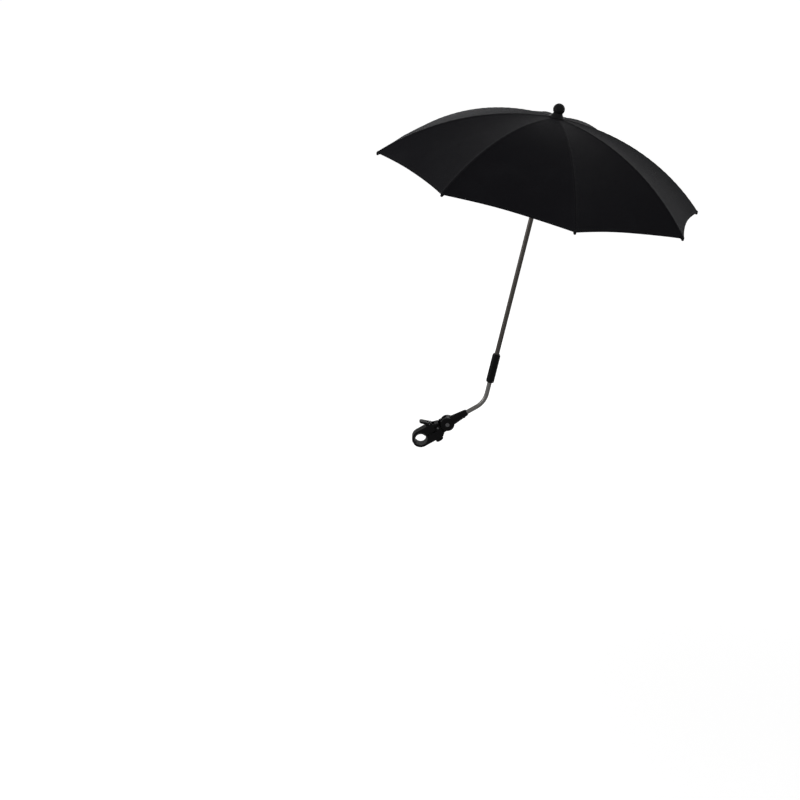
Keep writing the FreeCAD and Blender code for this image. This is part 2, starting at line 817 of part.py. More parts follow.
def add_rod():
    floor = D.socket_floor.value + D.fit_clearance.value
    keep("bent_rod", make_bent_rod(), along(arm_frame, floor))
    keep("coupling_sleeve", make_coupling_sleeve(), sleeve_frame)


# The fold: rib and stretcher geometry in a rib's own plane

curve_drop = half_chord(D.rib_curve_radius, D.rib_pivot_radius)
degrees_of_arc = 180 / math.pi / D.rib_curve_radius
rivet_angle = D.rivet_arc * degrees_of_arc
rivet_curve = D.rib_curve_radius - D.rivet_drop


def on_curve(radius, angle):
    """The point of a rib's plane at that radius from the curve's centre and angle from the pole."""
    return radius * sine(angle), radius * cosine(angle) - curve_drop


rivet_x, rivet_z = on_curve(rivet_curve, rivet_angle)
stretcher_run = rivet_x - D.runner_pivot_radius
stretcher_rise = D.runner_drop + rivet_z
stretcher_length = root(stretcher_run * stretcher_run + stretcher_rise * stretcher_rise)


def folded_drop():
    """How far below the rib pivots the runner sits when the ribs are folded."""
    fold = math.radians(D.fold_angle.value)
    x, z = rivet_x.value - D.rib_pivot_radius.value, rivet_z.value
    radial = D.rib_pivot_radius.value + x * math.cos(fold) + z * math.sin(fold)
    height = -x * math.sin(fold) + z * math.cos(fold)
    run = radial - D.runner_pivot_radius.value
    return math.sqrt(stretcher_length.value ** 2 - run ** 2) - height


# Pole, catches, notch, ferrule and crown

pole_bore = D.pole_radius - D.pole_wall
pole_foot = D.sleeve_start + D.sleeve_step + D.run_clearance - D.pole_reach
runner_foot = -D.runner_drop - D.runner_flange_height / 2 - D.runner_skirt
upper_catch_z = runner_foot - D.run_clearance - D.catch_length
window_low = D.runner_grip_height * 2 - D.runner_skirt - D.runner_flange_height / 2
window_room = D.catch_length * D.catch_flat_share
lower_catch_z = -folded_drop() + window_low - (D.catch_length - window_room) / 2
stop_z = D.runner_flange_height / 2 + D.stop_pin_rise - D.runner_drop
slot_side = D.catch_width / 2 + D.run_clearance


def make_pole():
    body = new_body("pole")
    tube = rectangle(new_sketch(body), pole_bore, pole_foot, D.pole_radius, D.pole_crown)
    turn_solid(body, tube)
    slots = new_sketch(body)
    for base in (upper_catch_z, lower_catch_z):
        low, high = base - D.fit_clearance, base + D.catch_length + D.fit_clearance
        rectangle(slots, -slot_side, low, slot_side, high)
    pocket(body, slots, D.pole_radius * 2, "One side")
    hole = draw_circle(new_sketch(body, "YZ_Plane"), 0, stop_z, D.stop_pin_radius + D.fit_clearance)
    pocket(body, hole, D.pole_radius * 2 + D.cut_overrun)
    return body


def make_catch(name):
    """A leaf spring with a nose through the pole's slot; its own origin is the slot's foot, on the axis."""
    body = new_body(name)
    out, back = D.catch_seat, D.catch_seat - D.catch_thickness
    nose, lee = D.catch_nose, D.catch_nose - D.catch_thickness
    top, tail = D.catch_length, -D.catch_tail
    peak, flat = D.catch_length * D.catch_peak_share, D.catch_length * D.catch_flat_share
    leaf = draw(
        new_sketch(body, "YZ_Plane"), (out, tail), (out, 0), (nose, peak), (nose, flat), (out, top),
        (back, top), (lee, flat), (lee, peak), (back, 0), (back, tail),
    )
    pad(body, leaf, D.catch_width)
    return body


def slotted(name, profile, ring, start, slot_width, slot_height, outer):
    """A turned hub with a ring groove and one radial slot for each rib."""
    body = turned(name, *profile)
    wire = D.ring_wire_radius + D.fit_clearance
    groove = rectangle(new_sketch(body), ring - wire, -wire, outer + D.cut_overrun, wire)
    turn_solid(body, groove, kind="Groove")
    side = slot_width / 2
    slot = rectangle(new_sketch(body, "XY_Plane"), start, -side, outer + D.cut_overrun, side)
    pattern(body, pocket(body, slot, slot_height), D.rib_count)
    return body


def make_notch():
    bore = D.pole_radius + D.fit_clearance
    low = D.notch_top - D.notch_height
    bevel = D.notch_top / 2
    profile = [
        (bore, low), (D.notch_radius - bevel, low), (D.notch_radius, low + bevel),
        (D.notch_radius, D.notch_top - bevel), (D.notch_radius - bevel, D.notch_top), (bore, D.notch_top),
    ]
    slot_width = D.rib_width + D.run_clearance * 2
    height = D.notch_height * 2 + D.cut_overrun
    return slotted(
        "top_notch", profile, D.rib_pivot_radius, D.notch_slot_start, slot_width, height, D.notch_radius,
    )


def make_ferrule():
    bore = D.pole_radius + D.fit_clearance
    seat = D.ferrule_seat
    neck_z = D.ball_height - half_chord(D.ball_radius, D.ferrule_neck_radius)
    bore_top = D.pole_crown + D.run_clearance
    return turned(
        "ferrule", (bore, seat), (D.ferrule_skirt_radius, seat),
        (D.ferrule_skirt_radius, seat + D.ferrule_rim),
        Arc(D.ferrule_neck_radius, neck_z, D.ferrule_flare, -1),
        Arc(D.ball_radius, D.ball_height, D.ball_radius, 1),
        Arc(0, D.ball_height + D.ball_radius, D.ball_radius, 1), (0, bore_top), (bore, bore_top),
    )


def ring_wire(name, radius):
    ring = doc.addObject("Part::Torus", name)
    bind(ring, "Radius1", radius)
    bind(ring, "Radius2", D.ring_wire_radius)
    return ring


def add_pole():
    keep("pole", make_pole(), pole_frame)
    keep("upper_catch", make_catch("upper_catch"), along(pole_frame, 0, 0, upper_catch_z.value))
    keep("lower_catch", make_catch("lower_catch"), along(pole_frame, 0, 0, lower_catch_z.value))
    across = Rotation(Y_AXIS, QUARTER_TURN)
    pin = round_bar("runner_stop", D.stop_pin_radius, D.stop_pin_length)
    keep("runner_stop", pin, along(pole_frame, 0, 0, stop_z.value, across))
    keep("top_notch", make_notch(), rib_frame(1))
    keep("notch_ring", ring_wire("notch_ring", D.rib_pivot_radius), pole_frame)
    keep("ferrule", make_ferrule(), pole_frame)
    bore = D.pole_radius + D.fit_clearance
    low = D.notch_top + D.fit_clearance
    high = low + D.crown_washer_height
    outer = D.crown_washer_radius
    washer = turned("crown_washer", (bore, low), (outer, low), (outer, high), (bore, high))
    keep("crown_washer", washer, pole_frame)


# Runner

def make_runner():
    bore = D.pole_radius + D.runner_bore_play
    top = D.runner_flange_height / 2
    foot = -top - D.runner_skirt
    grip = foot + D.runner_grip_height
    profile = [
        (bore, foot), (D.runner_grip_radius, foot), (D.runner_grip_radius, grip),
        (D.runner_waist, grip + D.runner_grip_height), (D.runner_waist, -top - D.runner_grip_height),
        (D.runner_flange_radius, -top), (D.runner_flange_radius, top), (bore, top),
    ]
    body = slotted(
        "runner", profile, D.runner_pivot_radius, D.runner_slot_start, D.runner_slot_width,
        D.runner_flange_height + D.runner_grip_height * 2, D.runner_flange_radius,
    )
    window = rectangle(
        new_sketch(body), -slot_side, window_low, slot_side, window_low + window_room,
    )
    pocket(body, window, D.runner_grip_radius * 2, "One side")
    return body


def add_runner():
    place = along(pole_frame, 0, 0, -D.runner_drop.value)
    keep("runner", make_runner(), along(place, rotation=Rotation(Z_AXIS, D.rib_phase.value)))
    keep("runner_ring", ring_wire("runner_ring", D.runner_pivot_radius), place)


# Ribs, tips and stretchers, each made once and repeated round the pole

rib_outer = D.rib_curve_radius + D.rib_top
rib_inner = rib_outer - D.rib_depth
pivot_angle = angle_of_sine(D.rib_pivot_radius / D.rib_curve_radius)
rib_end_angle = D.rib_arc * degrees_of_arc


def band(sketch, outer, inner, first, last):
    """An arc-shaped band of a rib's plane between two angles."""
    return draw(
        sketch, on_curve(outer, first), Arc(*on_curve(outer, last), outer, -1), on_curve(inner, last),
        Arc(*on_curve(inner, first), inner, 1),
    )


def make_rib():
    """A channel-section rib with a pivot eye, in its rib frame."""
    body = new_body("rib")
    pad(body, band(new_sketch(body), rib_outer, rib_inner, pivot_angle, rib_end_angle), D.rib_width)
    pad(body, draw_circle(new_sketch(body), D.rib_pivot_radius, 0, D.rib_eye_radius), D.rib_width)
    first = pivot_angle + D.rib_root_length * degrees_of_arc
    last = rib_end_angle - D.rib_end_length * degrees_of_arc
    channel = band(new_sketch(body), rib_outer - D.rib_wall, rib_inner - D.cut_overrun, first, last)
    pocket(body, channel, D.rib_width - D.rib_wall * 2)
    eye = draw_circle(new_sketch(body), D.rib_pivot_radius, 0, D.ring_wire_radius + D.rib_eye_play)
    draw_circle(eye, rivet_x, rivet_z, D.rivet_radius + D.fit_clearance)
    pocket(body, eye, D.rib_width + D.cut_overrun)
    return body


def make_rib_tip():
    """A ball-ended cap; its own origin is on the rib's end face and Z points outwards."""
    ball, neck = D.tip_ball_radius, D.tip_radius
    centre = D.tip_length
    join = centre - half_chord(ball, neck)
    return turned(
        "rib_tip", (0, 0), (neck, 0), (neck, join), Arc(ball, centre, ball, 1),
        Arc(0, centre + ball, ball, 1),
    )


def make_stretcher():
    """A flat strut with thin ends; its own origin is the rivet and X runs to the runner."""
    body = new_body("stretcher_bar")
    half = D.stretcher_height / 2
    length = stretcher_length - D.stretcher_gap
    tongue = draw(
        new_sketch(body), (0, -half), (length, -half), (length, half), (0, half),
        Arc(-half, 0, half, 1), Arc(0, -half, half, 1),
    )
    pad(body, tongue, D.stretcher_tongue)
    bar = rectangle(new_sketch(body), D.stretcher_taper, -half, length - D.stretcher_taper, half)
    pad(body, bar, D.stretcher_width)
    hole = draw_circle(new_sketch(body), 0, 0, D.rivet_radius + D.fit_clearance)
    pocket(body, hole, D.stretcher_width + D.cut_overrun)
    return body


def make_rivet():
    """A headed rivet along Z through a rib's two walls."""
    face = D.rib_width / 2 + D.fit_clearance
    end = face + D.rivet_head_height
    shank, head = D.rivet_radius, D.rivet_head_radius
    return turned(
        "rivet", (0, -end), (head, -end), (head, -face), (shank, -face), (shank, face), (head, face),
        (head, end), (0, end),
    )


def repeat(label, master, placement):
    """Place one more copy of a piece that is made once."""
    link = doc.addObject("App::Link", label)
    link.LinkedObject = master
    keep(label, link, placement)


def add_ribs():
    rib, tip, rivet, bar = make_rib(), make_rib_tip(), make_rivet(), make_stretcher()
    rivet.Placement = Placement(Vector(), LIE_ALONG_Y)
    stretcher = doc.addObject("Part::Compound", "stretcher")
    stretcher.Links = [bar, rivet]
    end_angle = rib_end_angle.value
    mid = (rib_outer + rib_inner) / 2
    end_x, end_z = on_curve(mid, rib_end_angle)
    tip_place = Placement(Vector(end_x.value, 0, end_z.value), Rotation(Y_AXIS, QUARTER_TURN + end_angle))
    droop = math.degrees(math.atan2(-stretcher_rise.value, -stretcher_run.value))
    bar_place = Placement(Vector(rivet_x.value, 0, rivet_z.value), Rotation(Y_AXIS, -droop))
    for number in range(1, int(D.rib_count.value) + 1):
        frame = rib_frame(number)
        repeat(f"rib_{number}", rib, frame)
        repeat(f"rib_tip_{number}", tip, frame.multiply(tip_place))
        repeat(f"stretcher_{number}", stretcher, frame.multiply(bar_place))


# Canopy cover: one panel on each rib, cut along the middle of the gores

cover_arc = D.rib_arc + D.cover_overhang
COVER_STATION_SHARES = (0.0, 0.12, 0.28, 0.45, 0.62, 0.8, 1.0)
HUB_STRETCH_SHARE = 1.17


class Cover:
    """Sections of the cover square to one rib's plane, each of two sagging arcs and its thickness."""

    def __init__(self):
        self.lift = D.rib_top.value + D.cover_lift.value + D.cover_thickness.value
        self.radius = D.rib_curve_radius.value + self.lift
        self.centre = -curve_drop.value
        self.half_turn = math.pi / D.rib_count.value

    def at_rib(self, arc):
        """The outer face above the rib at that arc length from the pole."""
        angle = arc / D.rib_curve_radius.value
        return Vector(self.radius * math.sin(angle), 0, self.centre + self.radius * math.cos(angle))

    def sag(self, arc):
        """How far the middle of a gore dips under the straight line between its ribs."""
        return D.cover_sag_share.value * 2 * self.at_rib(arc).x * math.sin(self.half_turn)

    def at_middle(self, arc):
        """The outer face at the middle of the gore, as (distance along the rib's plane, height)."""
        angle = arc / D.rib_curve_radius.value
        line = self.at_rib(arc)
        dip = self.sag(arc)
        reach = line.x * math.cos(self.half_turn) - dip * math.sin(angle)
        return reach * math.cos(self.half_turn), line.z - dip * math.cos(angle)

    def middle_arc(self, arc):
        """The arc length at which a section that leaves the rib at this arc meets the gore's middle."""
        hem_share = 1 - D.cover_scallop.value / cover_arc.value
        share = arc / cover_arc.value
        return arc * (HUB_STRETCH_SHARE + (hem_share - HUB_STRETCH_SHARE) * share)

    def edge(self, x, z):
        """The cut edge at that distance from the pole, just short of the gore's middle."""
        return Vector(x, x * math.tan(self.half_turn) - D.cover_split.value, z)

    def section(self, arc):
        rib = self.at_rib(arc)
        angle = arc / D.rib_curve_radius.value
        far = self.middle_arc(arc)
        x, z = self.at_middle(far)
        outward = Vector(rib.x - x, 0, rib.z - z).normalize()
        normal = Vector(math.sin(angle), 0, math.cos(angle))
        lean = outward.dot(normal)
        inward = outward * (-D.cover_thickness.value / lean)
        edges = []
        for shift in (Vector(), inward):
            top = rib + shift
            side = self.edge(x + shift.x, z + shift.z)
            between = (top + side) / 2 - outward * (self.sag(far) / 4 / lean)
            flip = [Vector(p.x, -p.y, p.z) for p in (side, between)]
            edges.append((side, between, top, flip[1], flip[0]))
        outer, inner = edges
        loop = [
            Part.Arc(outer[0], outer[1], outer[2]), Part.Arc(outer[2], outer[3], outer[4]),
            Part.LineSegment(outer[4], inner[4]),
            Part.Arc(inner[4], inner[3], inner[2]), Part.Arc(inner[2], inner[1], inner[0]),
            Part.LineSegment(inner[0], outer[0]),
        ]
        return Part.Wire([edge.toShape() for edge in loop])

    def panel(self):
        first, last = D.cover_hub.value, cover_arc.value
        arcs = [first + (last - first) * share for share in COVER_STATION_SHARES]
        return Part.makeLoft([self.section(arc) for arc in arcs], True, False)


def add_cover():
    shape = Cover().panel()
    for number in range(1, int(D.rib_count.value) + 1):
        panel = doc.addObject("Part::Feature", f"canopy_panel_{number}")
        panel.Shape = shape.copy()
        keep(f"canopy_panel_{number}", panel, rib_frame(number))


def check_document():
    """Stop unless every object recomputed and every sub-part has a sound shape."""
    for item in doc.Objects:
        if {"Invalid", "Error"} & set(item.State):
            raise RuntimeError(f"{item.Name} failed: {item.State}")
    for label, item in parts.items():
        shape = Part.getShape(item)
        if shape.isNull() or not shape.isValid() or not shape.Solids:
            raise RuntimeError(f"{label} has no sound solid")


def write_parts():
    os.makedirs("parts", exist_ok=True)
    for label, item in parts.items():
        Part.getShape(item).exportStep(os.path.join("parts", f"{label}.step"))


add_clamp()
add_clamp_lever()
add_tilt_hinge()
add_rod()
add_pole()
add_runner()
add_ribs()
add_cover()
doc.recompute()
check_document()
write_parts()
travel = folded_drop() - D.runner_drop.value
print(f"{len(parts)} sub-parts; stretcher {stretcher_length.value:.4f}, travel {travel:.3f} mm")
print(f"hinge {tuple(hinge_point)}, corner {tuple(corner_point)}, notch {tuple(pole_frame.Base)}")
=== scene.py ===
"""Scene of a pram parasol: cloth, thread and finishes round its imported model, in metres."""
import json
import logging
import math
import random
from dataclasses import dataclass, field
from enum import Enum
from typing import Any, Sequence, Union

import bpy
from mathutils import Matrix, Vector


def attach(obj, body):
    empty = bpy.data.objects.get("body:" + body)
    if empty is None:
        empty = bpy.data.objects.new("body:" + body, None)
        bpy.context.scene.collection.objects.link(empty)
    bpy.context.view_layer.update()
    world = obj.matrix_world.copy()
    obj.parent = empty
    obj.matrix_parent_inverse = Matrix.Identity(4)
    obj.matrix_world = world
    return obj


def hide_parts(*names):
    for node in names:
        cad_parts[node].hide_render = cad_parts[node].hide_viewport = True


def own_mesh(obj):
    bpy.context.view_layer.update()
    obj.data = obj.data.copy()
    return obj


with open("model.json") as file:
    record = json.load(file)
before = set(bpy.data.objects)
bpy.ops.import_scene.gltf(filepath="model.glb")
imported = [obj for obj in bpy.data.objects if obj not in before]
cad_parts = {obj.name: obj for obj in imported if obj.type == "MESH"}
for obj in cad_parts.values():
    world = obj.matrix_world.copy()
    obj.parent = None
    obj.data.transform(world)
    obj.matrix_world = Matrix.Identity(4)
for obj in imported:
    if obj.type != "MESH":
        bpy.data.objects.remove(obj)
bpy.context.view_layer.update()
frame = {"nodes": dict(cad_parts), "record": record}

log = logging.getLogger("parasol")
RIM_ANGLE = math.radians(50.0)
Number = Union[float, int, "Value"]
Pair = tuple[float, float]
Triple = tuple[float, float, float]
Colour = Triple
# Numbers of the Mix node's colour sockets, which share their names with others
MIX_FIRST = 6
MIX_SECOND = 7
MIX_RESULT = 2


class Value:
    """A number socket of a shader whose arithmetic adds Math nodes."""

    def __init__(self, shader: "Graph", socket: bpy.types.NodeSocket) -> None:
        """Hold the socket.

        Args:
            shader: The node tree that owns the socket.
            socket: The output socket.
        """
        self.shader = shader
        self.socket = socket

    def maths(self, operation: str, *values: Number) -> "Value":
        """Add a Math node.

        Args:
            operation: The node's operation.
            values: Its inputs in order.
        Returns:
            The node's result.
        """
        return self.shader.node("ShaderNodeMath", {"operation": operation}, dict(enumerate(values)))

    def __add__(self, other: Number) -> "Value":
        """Add."""
        return self.maths("ADD", self, other)

    def __radd__(self, other: Number) -> "Value":
        """Add, with the number first."""
        return self.maths("ADD", other, self)

    def __sub__(self, other: Number) -> "Value":
        """Subtract."""
        return self.maths("SUBTRACT", self, other)

    def __rsub__(self, other: Number) -> "Value":
        """Subtract from a number."""
        return self.maths("SUBTRACT", other, self)

    def __mul__(self, other: Number) -> "Value":
        """Multiply."""
        return self.maths("MULTIPLY", self, other)

    def __rmul__(self, other: Number) -> "Value":
        """Multiply, with the number first."""
        return self.maths("MULTIPLY", other, self)

    def __truediv__(self, other: Number) -> "Value":
        """Divide."""
        return self.maths("DIVIDE", self, other)

    def __rtruediv__(self, other: Number) -> "Value":
        """Divide a number by the value."""
        return self.maths("DIVIDE", other, self)

    def floor(self) -> "Value":
        """Round down."""
        return self.maths("FLOOR", self)

    def fraction(self) -> "Value":
        """Keep what is over the whole number."""
        return self.maths("FRACT", self)

    def remainder(self, other: Number) -> "Value":
        """Keep what is over whole multiples of the other number."""
        return self.maths("FLOORED_MODULO", self, other)

    def smoothly(self, low: float, high: float) -> "Value":
        """Rise smoothly from 0 to 1 between two values.

        Args:
            low: Where the rise starts.
            high: Where it ends.
        Returns:
            The eased value.
        """
        settings = {"interpolation_type": "SMOOTHSTEP"}
        inputs = {"Value": self, "From Min": low, "From Max": high}
        return self.shader.node("ShaderNodeMapRange", settings, inputs)


class Graph:
    """A node tree under construction."""

    def __init__(self, tree: bpy.types.NodeTree) -> None:
        """Hold the tree."""
        self.tree = tree

    def node(self, kind: str, settings: dict[str, Any], inputs: dict[Any, Any], output: Any = 0) -> Value:
        """Add a node.

        Args:
            kind: The node's type name.
            settings: Properties set before the inputs.
            inputs: Socket name or index to a value, a colour or a linked Value.
            output: The name or index of the socket to hand back.
        Returns:
            The chosen output.
        """
        made = self.tree.nodes.new(kind)
        for key, setting in settings.items():
            setattr(made, key, setting)
        for key, entry in inputs.items():
            self.feed(made.inputs[key], entry)
        return Value(self, made.outputs[output])

    def feed(self, socket: bpy.types.NodeSocket, entry: Any) -> None:
        """Link a Value to a socket, or set the socket's own value.

        Args:
            socket: The input socket.
            entry: A Value, a number, a vector or a colour.
        """
        if isinstance(entry, Value):
            self.tree.links.new(entry.socket, socket)
        else:
            socket.default_value = (*entry, 1.0) if socket.type == "RGBA" else entry

    def ray(self, kind: str) -> Value:
        """1 for rays of that kind, such as Is Camera Ray, and 0 for others."""
        return self.node("ShaderNodeLightPath", {}, {}, kind)


class Shader(Graph):
    """A material under construction, with one Principled shader."""

    def __init__(self, name: str) -> None:
        """Start a material.

        Args:
            name: The material's name.
        """
        self.material = bpy.data.materials.new(name)
        self.material.use_nodes = True
        super().__init__(self.material.node_tree)
        self.principled = self.tree.nodes["Principled BSDF"]

    def surface(self, **inputs: Any) -> bpy.types.Material:
        """Set the Principled shader's sockets.

        Args:
            inputs: Socket names, with underscores for spaces, to values or links.
        Returns:
            The finished material.
        """
        for key, entry in inputs.items():
            self.feed(self.principled.inputs[key.replace("_", " ")], entry)
        return self.material

    def seen_from_above(self) -> None:
        """Make the faces clear from behind."""
        behind = self.node("ShaderNodeNewGeometry", {}, {}, "Backfacing")
        clear = self.node("ShaderNodeBsdfTransparent", {}, {})
        solid = Value(self, self.principled.outputs[0])
        mixed = self.node("ShaderNodeMixShader", {}, {0: behind, 1: solid, 2: clear})
        self.feed(self.tree.nodes["Material Output"].inputs["Surface"], mixed)

    def place(self, turn: Triple = (0.0, 0.0, 0.0), stretch: Triple = (1.0, 1.0, 1.0)) -> Value:
        """Object coordinates, turned and stretched.

        Args:
            turn: Rotation in radians.
            stretch: Scale of each axis.
        Returns:
            The coordinates.
        """
        point = self.node("ShaderNodeTexCoord", {}, {}, "Object")
        return self.node("ShaderNodeMapping", {}, {"Vector": point, "Rotation": turn, "Scale": stretch})

    def noise(self, point: Value, scale: float, detail: float = 2.0, rough: float = 0.5) -> Value:
        """Cloudy noise.

        Args:
            point: Where it is read.
            scale: Cells to the metre.
            detail: Octaves.
            rough: How strong the finer octaves are.
        Returns:
            A value round one half.
        """
        inputs = {"Vector": point, "Scale": scale, "Detail": detail, "Roughness": rough}
        return self.node("ShaderNodeTexNoise", {}, inputs, "Fac")

    def tint(self, share: Value, first: Any, second: Any) -> Value:
        """Mix two colours.

        Args:
            share: 0 for the first colour and 1 for the second.
            first: A colour or a linked Value.
            second: A colour or a linked Value.
        Returns:
            The mixed colour.
        """
        inputs = {"Factor": share, MIX_FIRST: first, MIX_SECOND: second}
        return self.node("ShaderNodeMix", {"data_type": "RGBA"}, inputs, MIX_RESULT)

    def edge(self, reach: float, samples: int = 6, limits: Pair = (0.99, 0.86)) -> Value:
        """Find corners and rims.

        Args:
            reach: How far from a corner counts, in metres.
            samples: Rays that feel for the corner.
            limits: Likeness of the rounded and the true normal where a corner starts and where it is full.
        Returns:
            1 on a corner and 0 on a flat or softly curved stretch.
        """
        rounded = self.node("ShaderNodeBevel", {"samples": samples}, {"Radius": reach})
        facing = self.node("ShaderNodeNewGeometry", {}, {}, "Normal")
        normals = {0: rounded, 1: facing}
        likeness = self.node("ShaderNodeVectorMath", {"operation": "DOT_PRODUCT"}, normals, "Value")
        return likeness.smoothly(*limits)

    def bump(self, height: Value, depth: float, strength: float = 1.0) -> Value:
        """Turn a height into a normal.

        Args:
            height: The height, about 0 to 1.
            depth: How deep a height of 1 is, in metres.
            strength: The share of it that shows.
        Returns:
            The normal.
        """
        inputs = {"Height": height, "Distance": depth, "Strength": strength}
        return self.node("ShaderNodeBump", {}, inputs)


@dataclass(frozen=True)
class WovenCloth:
    """Plain-woven polyester, read on the piece's UV map in metres."""

    name: str = "cover_cloth"
    yarn: float = 0.00042
    deep: Colour = (0.0028, 0.0027, 0.0034)
    pale: Colour = (0.0055, 0.0053, 0.0065)
    dust: Colour = (0.0084, 0.0083, 0.0096)
    sheen: float = 0.045
    sheen_rough: float = 0.35
    sheen_tint: Colour = (0.86, 0.87, 0.9)
    gloss: float = 0.03
    rough: float = 0.72
    weave_depth: float = 0.00007
    # Share of painted shade in the colour, from the weave's height
    weave_shade_share: float = 0.75
    slub_scale: float = 420.0
    slub_tint_share: float = 0.35
    slub_relief_share: float = 0.6
    slub_rough: float = 0.16
    cloud_scale: float = 16.0
    cloud_limits: Pair = (0.45, 0.8)
    dust_share: float = 0.35

    def build(self) -> bpy.types.Material:
        """Make the material.

        Returns:
            Black cloth with crossing yarns, painted shade between them, slubs and faint dust.
        """
        shader = Shader(self.name)
        point = shader.node("ShaderNodeUVMap", {"uv_map": "cloth"}, {})
        axes = shader.node("ShaderNodeSeparateXYZ", {}, {"Vector": point})
        across = axes / self.yarn
        along = Value(shader, axes.socket.node.outputs[1]) / self.yarn
        parity = (across.floor() + along.floor()).remainder(2.0)
        warp_side = across.fraction() * 2.0 - 1.0
        weft_side = along.fraction() * 2.0 - 1.0
        warp = 1.0 - warp_side * warp_side
        weft = 1.0 - weft_side * weft_side
        height = warp * parity + weft * (1.0 - parity)
        slub = shader.noise(shader.place(), self.slub_scale, detail=3.0, rough=0.6)
        cloud = shader.noise(shader.place(), self.cloud_scale, detail=4.0, rough=0.55)
        # Painted shade: the weave's height makes yarn crowns paler and the hollows between yarns darker; the
        # slubs add a real random tone.
        lit = height * self.weave_shade_share + slub * self.slub_tint_share
        dusty = cloud.smoothly(*self.cloud_limits) * self.dust_share
        colour = shader.tint(dusty, shader.tint(lit, self.deep, self.pale), self.dust)
        normal = shader.bump(height + slub * self.slub_relief_share, self.weave_depth)
        return shader.surface(
            Base_Color=colour, Roughness=self.rough + slub * self.slub_rough, Normal=normal,
            Sheen_Weight=self.sheen, Sheen_Roughness=self.sheen_rough, Sheen_Tint=self.sheen_tint,
            Specular_IOR_Level=self.gloss,
        )


@dataclass(frozen=True)
class SewingThread:
    """Twisted black thread."""

    name: str = "sewing_thread"
    colour: Colour = (0.0026, 0.0026, 0.003)
    lit: Colour = (0.006, 0.006, 0.0066)
    rough: float = 0.5
    sheen: float = 0.04
    gloss: float = 0.1
    twist_scale: float = 2600.0
    twist_depth: float = 0.00005
    twist_rough: float = 0.25

    def build(self) -> bpy.types.Material:
        """Make the material.

        Returns:
            Dull thread with a fine twist.
        """
        shader = Shader(self.name)
        twist = shader.noise(shader.place(), self.twist_scale)
        return shader.surface(
            Base_Color=shader.tint(twist, self.colour, self.lit), Sheen_Weight=self.sheen,
            Roughness=self.rough + twist * self.twist_rough, Normal=shader.bump(twist, self.twist_depth),
            Specular_IOR_Level=self.gloss,
        )


@dataclass(frozen=True)
class MouldedPlastic:
    """Black plastic with a moulded grain, faint flow clouds and rubbed spots."""

    name: str
    deep: Colour = (0.0012, 0.0012, 0.0013)
    rubbed: Colour = (0.004, 0.004, 0.0042)
    worn: Colour = (0.02, 0.02, 0.0205)
    rough: float = 0.3
    gloss: float = 0.045
    edge_reach: float = 0.0007
    wear_limits: Pair = (0.35, 0.65)
    wear_polish: float = 0.08
    grain_scale: float = 1900.0
    grain_depth: float = 0.00006
    flow_scale: float = 55.0
    flow_tint_share: float = 0.35
    flow_rough: float = 0.14
    scuff_scale: float = 90.0
    scuff_turn: Triple = (0.5, 0.9, 0.3)
    scuff_stretch: Triple = (1.0, 9.0, 1.0)
    scuff_limits: Pair = (0.62, 0.78)
    scuff_tint_share: float = 0.5
    scuff_rough: float = 0.12

    def build(self) -> bpy.types.Material:
        """Make the material.

        Returns:
            The grained plastic.
        """
        shader = Shader(self.name)
        point = shader.place()
        grain = shader.noise(point, self.grain_scale, rough=0.6)
        flow = shader.noise(point, self.flow_scale, detail=4.0, rough=0.6)
        streaks = shader.place(self.scuff_turn, self.scuff_stretch)
        scratches = shader.noise(streaks, self.scuff_scale, detail=3.0, rough=0.65)
        scuffs = scratches.smoothly(*self.scuff_limits)
        wear = shader.edge(self.edge_reach) * flow.smoothly(*self.wear_limits)
        rubs = flow * self.flow_tint_share + scuffs * self.scuff_tint_share
        colour = shader.tint(wear, shader.tint(rubs, self.deep, self.rubbed), self.worn)
        rough = self.rough + flow * self.flow_rough + scuffs * self.scuff_rough - wear * self.wear_polish
        return shader.surface(
            Base_Color=colour, Roughness=rough, Normal=shader.bump(grain, self.grain_depth),
            Specular_IOR_Level=self.gloss,
        )


@dataclass(frozen=True)
class DrawnSteel:
    """Steel tube or rod with draw lines along its own axis."""

    name: str
    deep: Colour
    bright: Colour
    turn: Triple
    rough: float = 0.3
    rim: Colour = (0.15, 0.15, 0.15)
    line_scale: float = 2400.0
    line_stretch: Triple = (1.0, 1.0, 0.012)
    line_depth: float = 0.00001
    line_tint_share: float = 0.7
    haze_scale: float = 70.0
    haze_stretch: Triple = (1.0, 1.0, 0.3)
    haze_tint_share: float = 0.3
    haze_rough: float = 0.14
    spot_scale: float = 800.0
    spot_limits: Pair = (0.66, 0.76)
    spot_tint_share: float = 0.4
    spot_rough: float = 0.2

    def build(self) -> bpy.types.Material:
        """Make the material.

        Returns:
            The steel, with fine lines, haze and a few dull spots.
        """
        shader = Shader(self.name)
        drawn = shader.place(self.turn, self.line_stretch)
        lines = shader.noise(drawn, self.line_scale, detail=3.0, rough=0.7)
        hazy = shader.place(self.turn, self.haze_stretch)
        haze = shader.noise(hazy, self.haze_scale, detail=4.0, rough=0.6)
        spots = shader.noise(shader.place(), self.spot_scale, rough=0.6).smoothly(*self.spot_limits)
        lit = lines * self.line_tint_share + haze * self.haze_tint_share
        clean = shader.tint(lit, self.deep, self.bright)
        return shader.surface(
            Base_Color=shader.tint(spots * self.spot_tint_share, clean, self.deep), Metallic=1.0,
            Roughness=self.rough + haze * self.haze_rough + spots * self.spot_rough,
            Normal=shader.bump(lines, self.line_depth, strength=0.6), Specular_Tint=self.rim,
        )


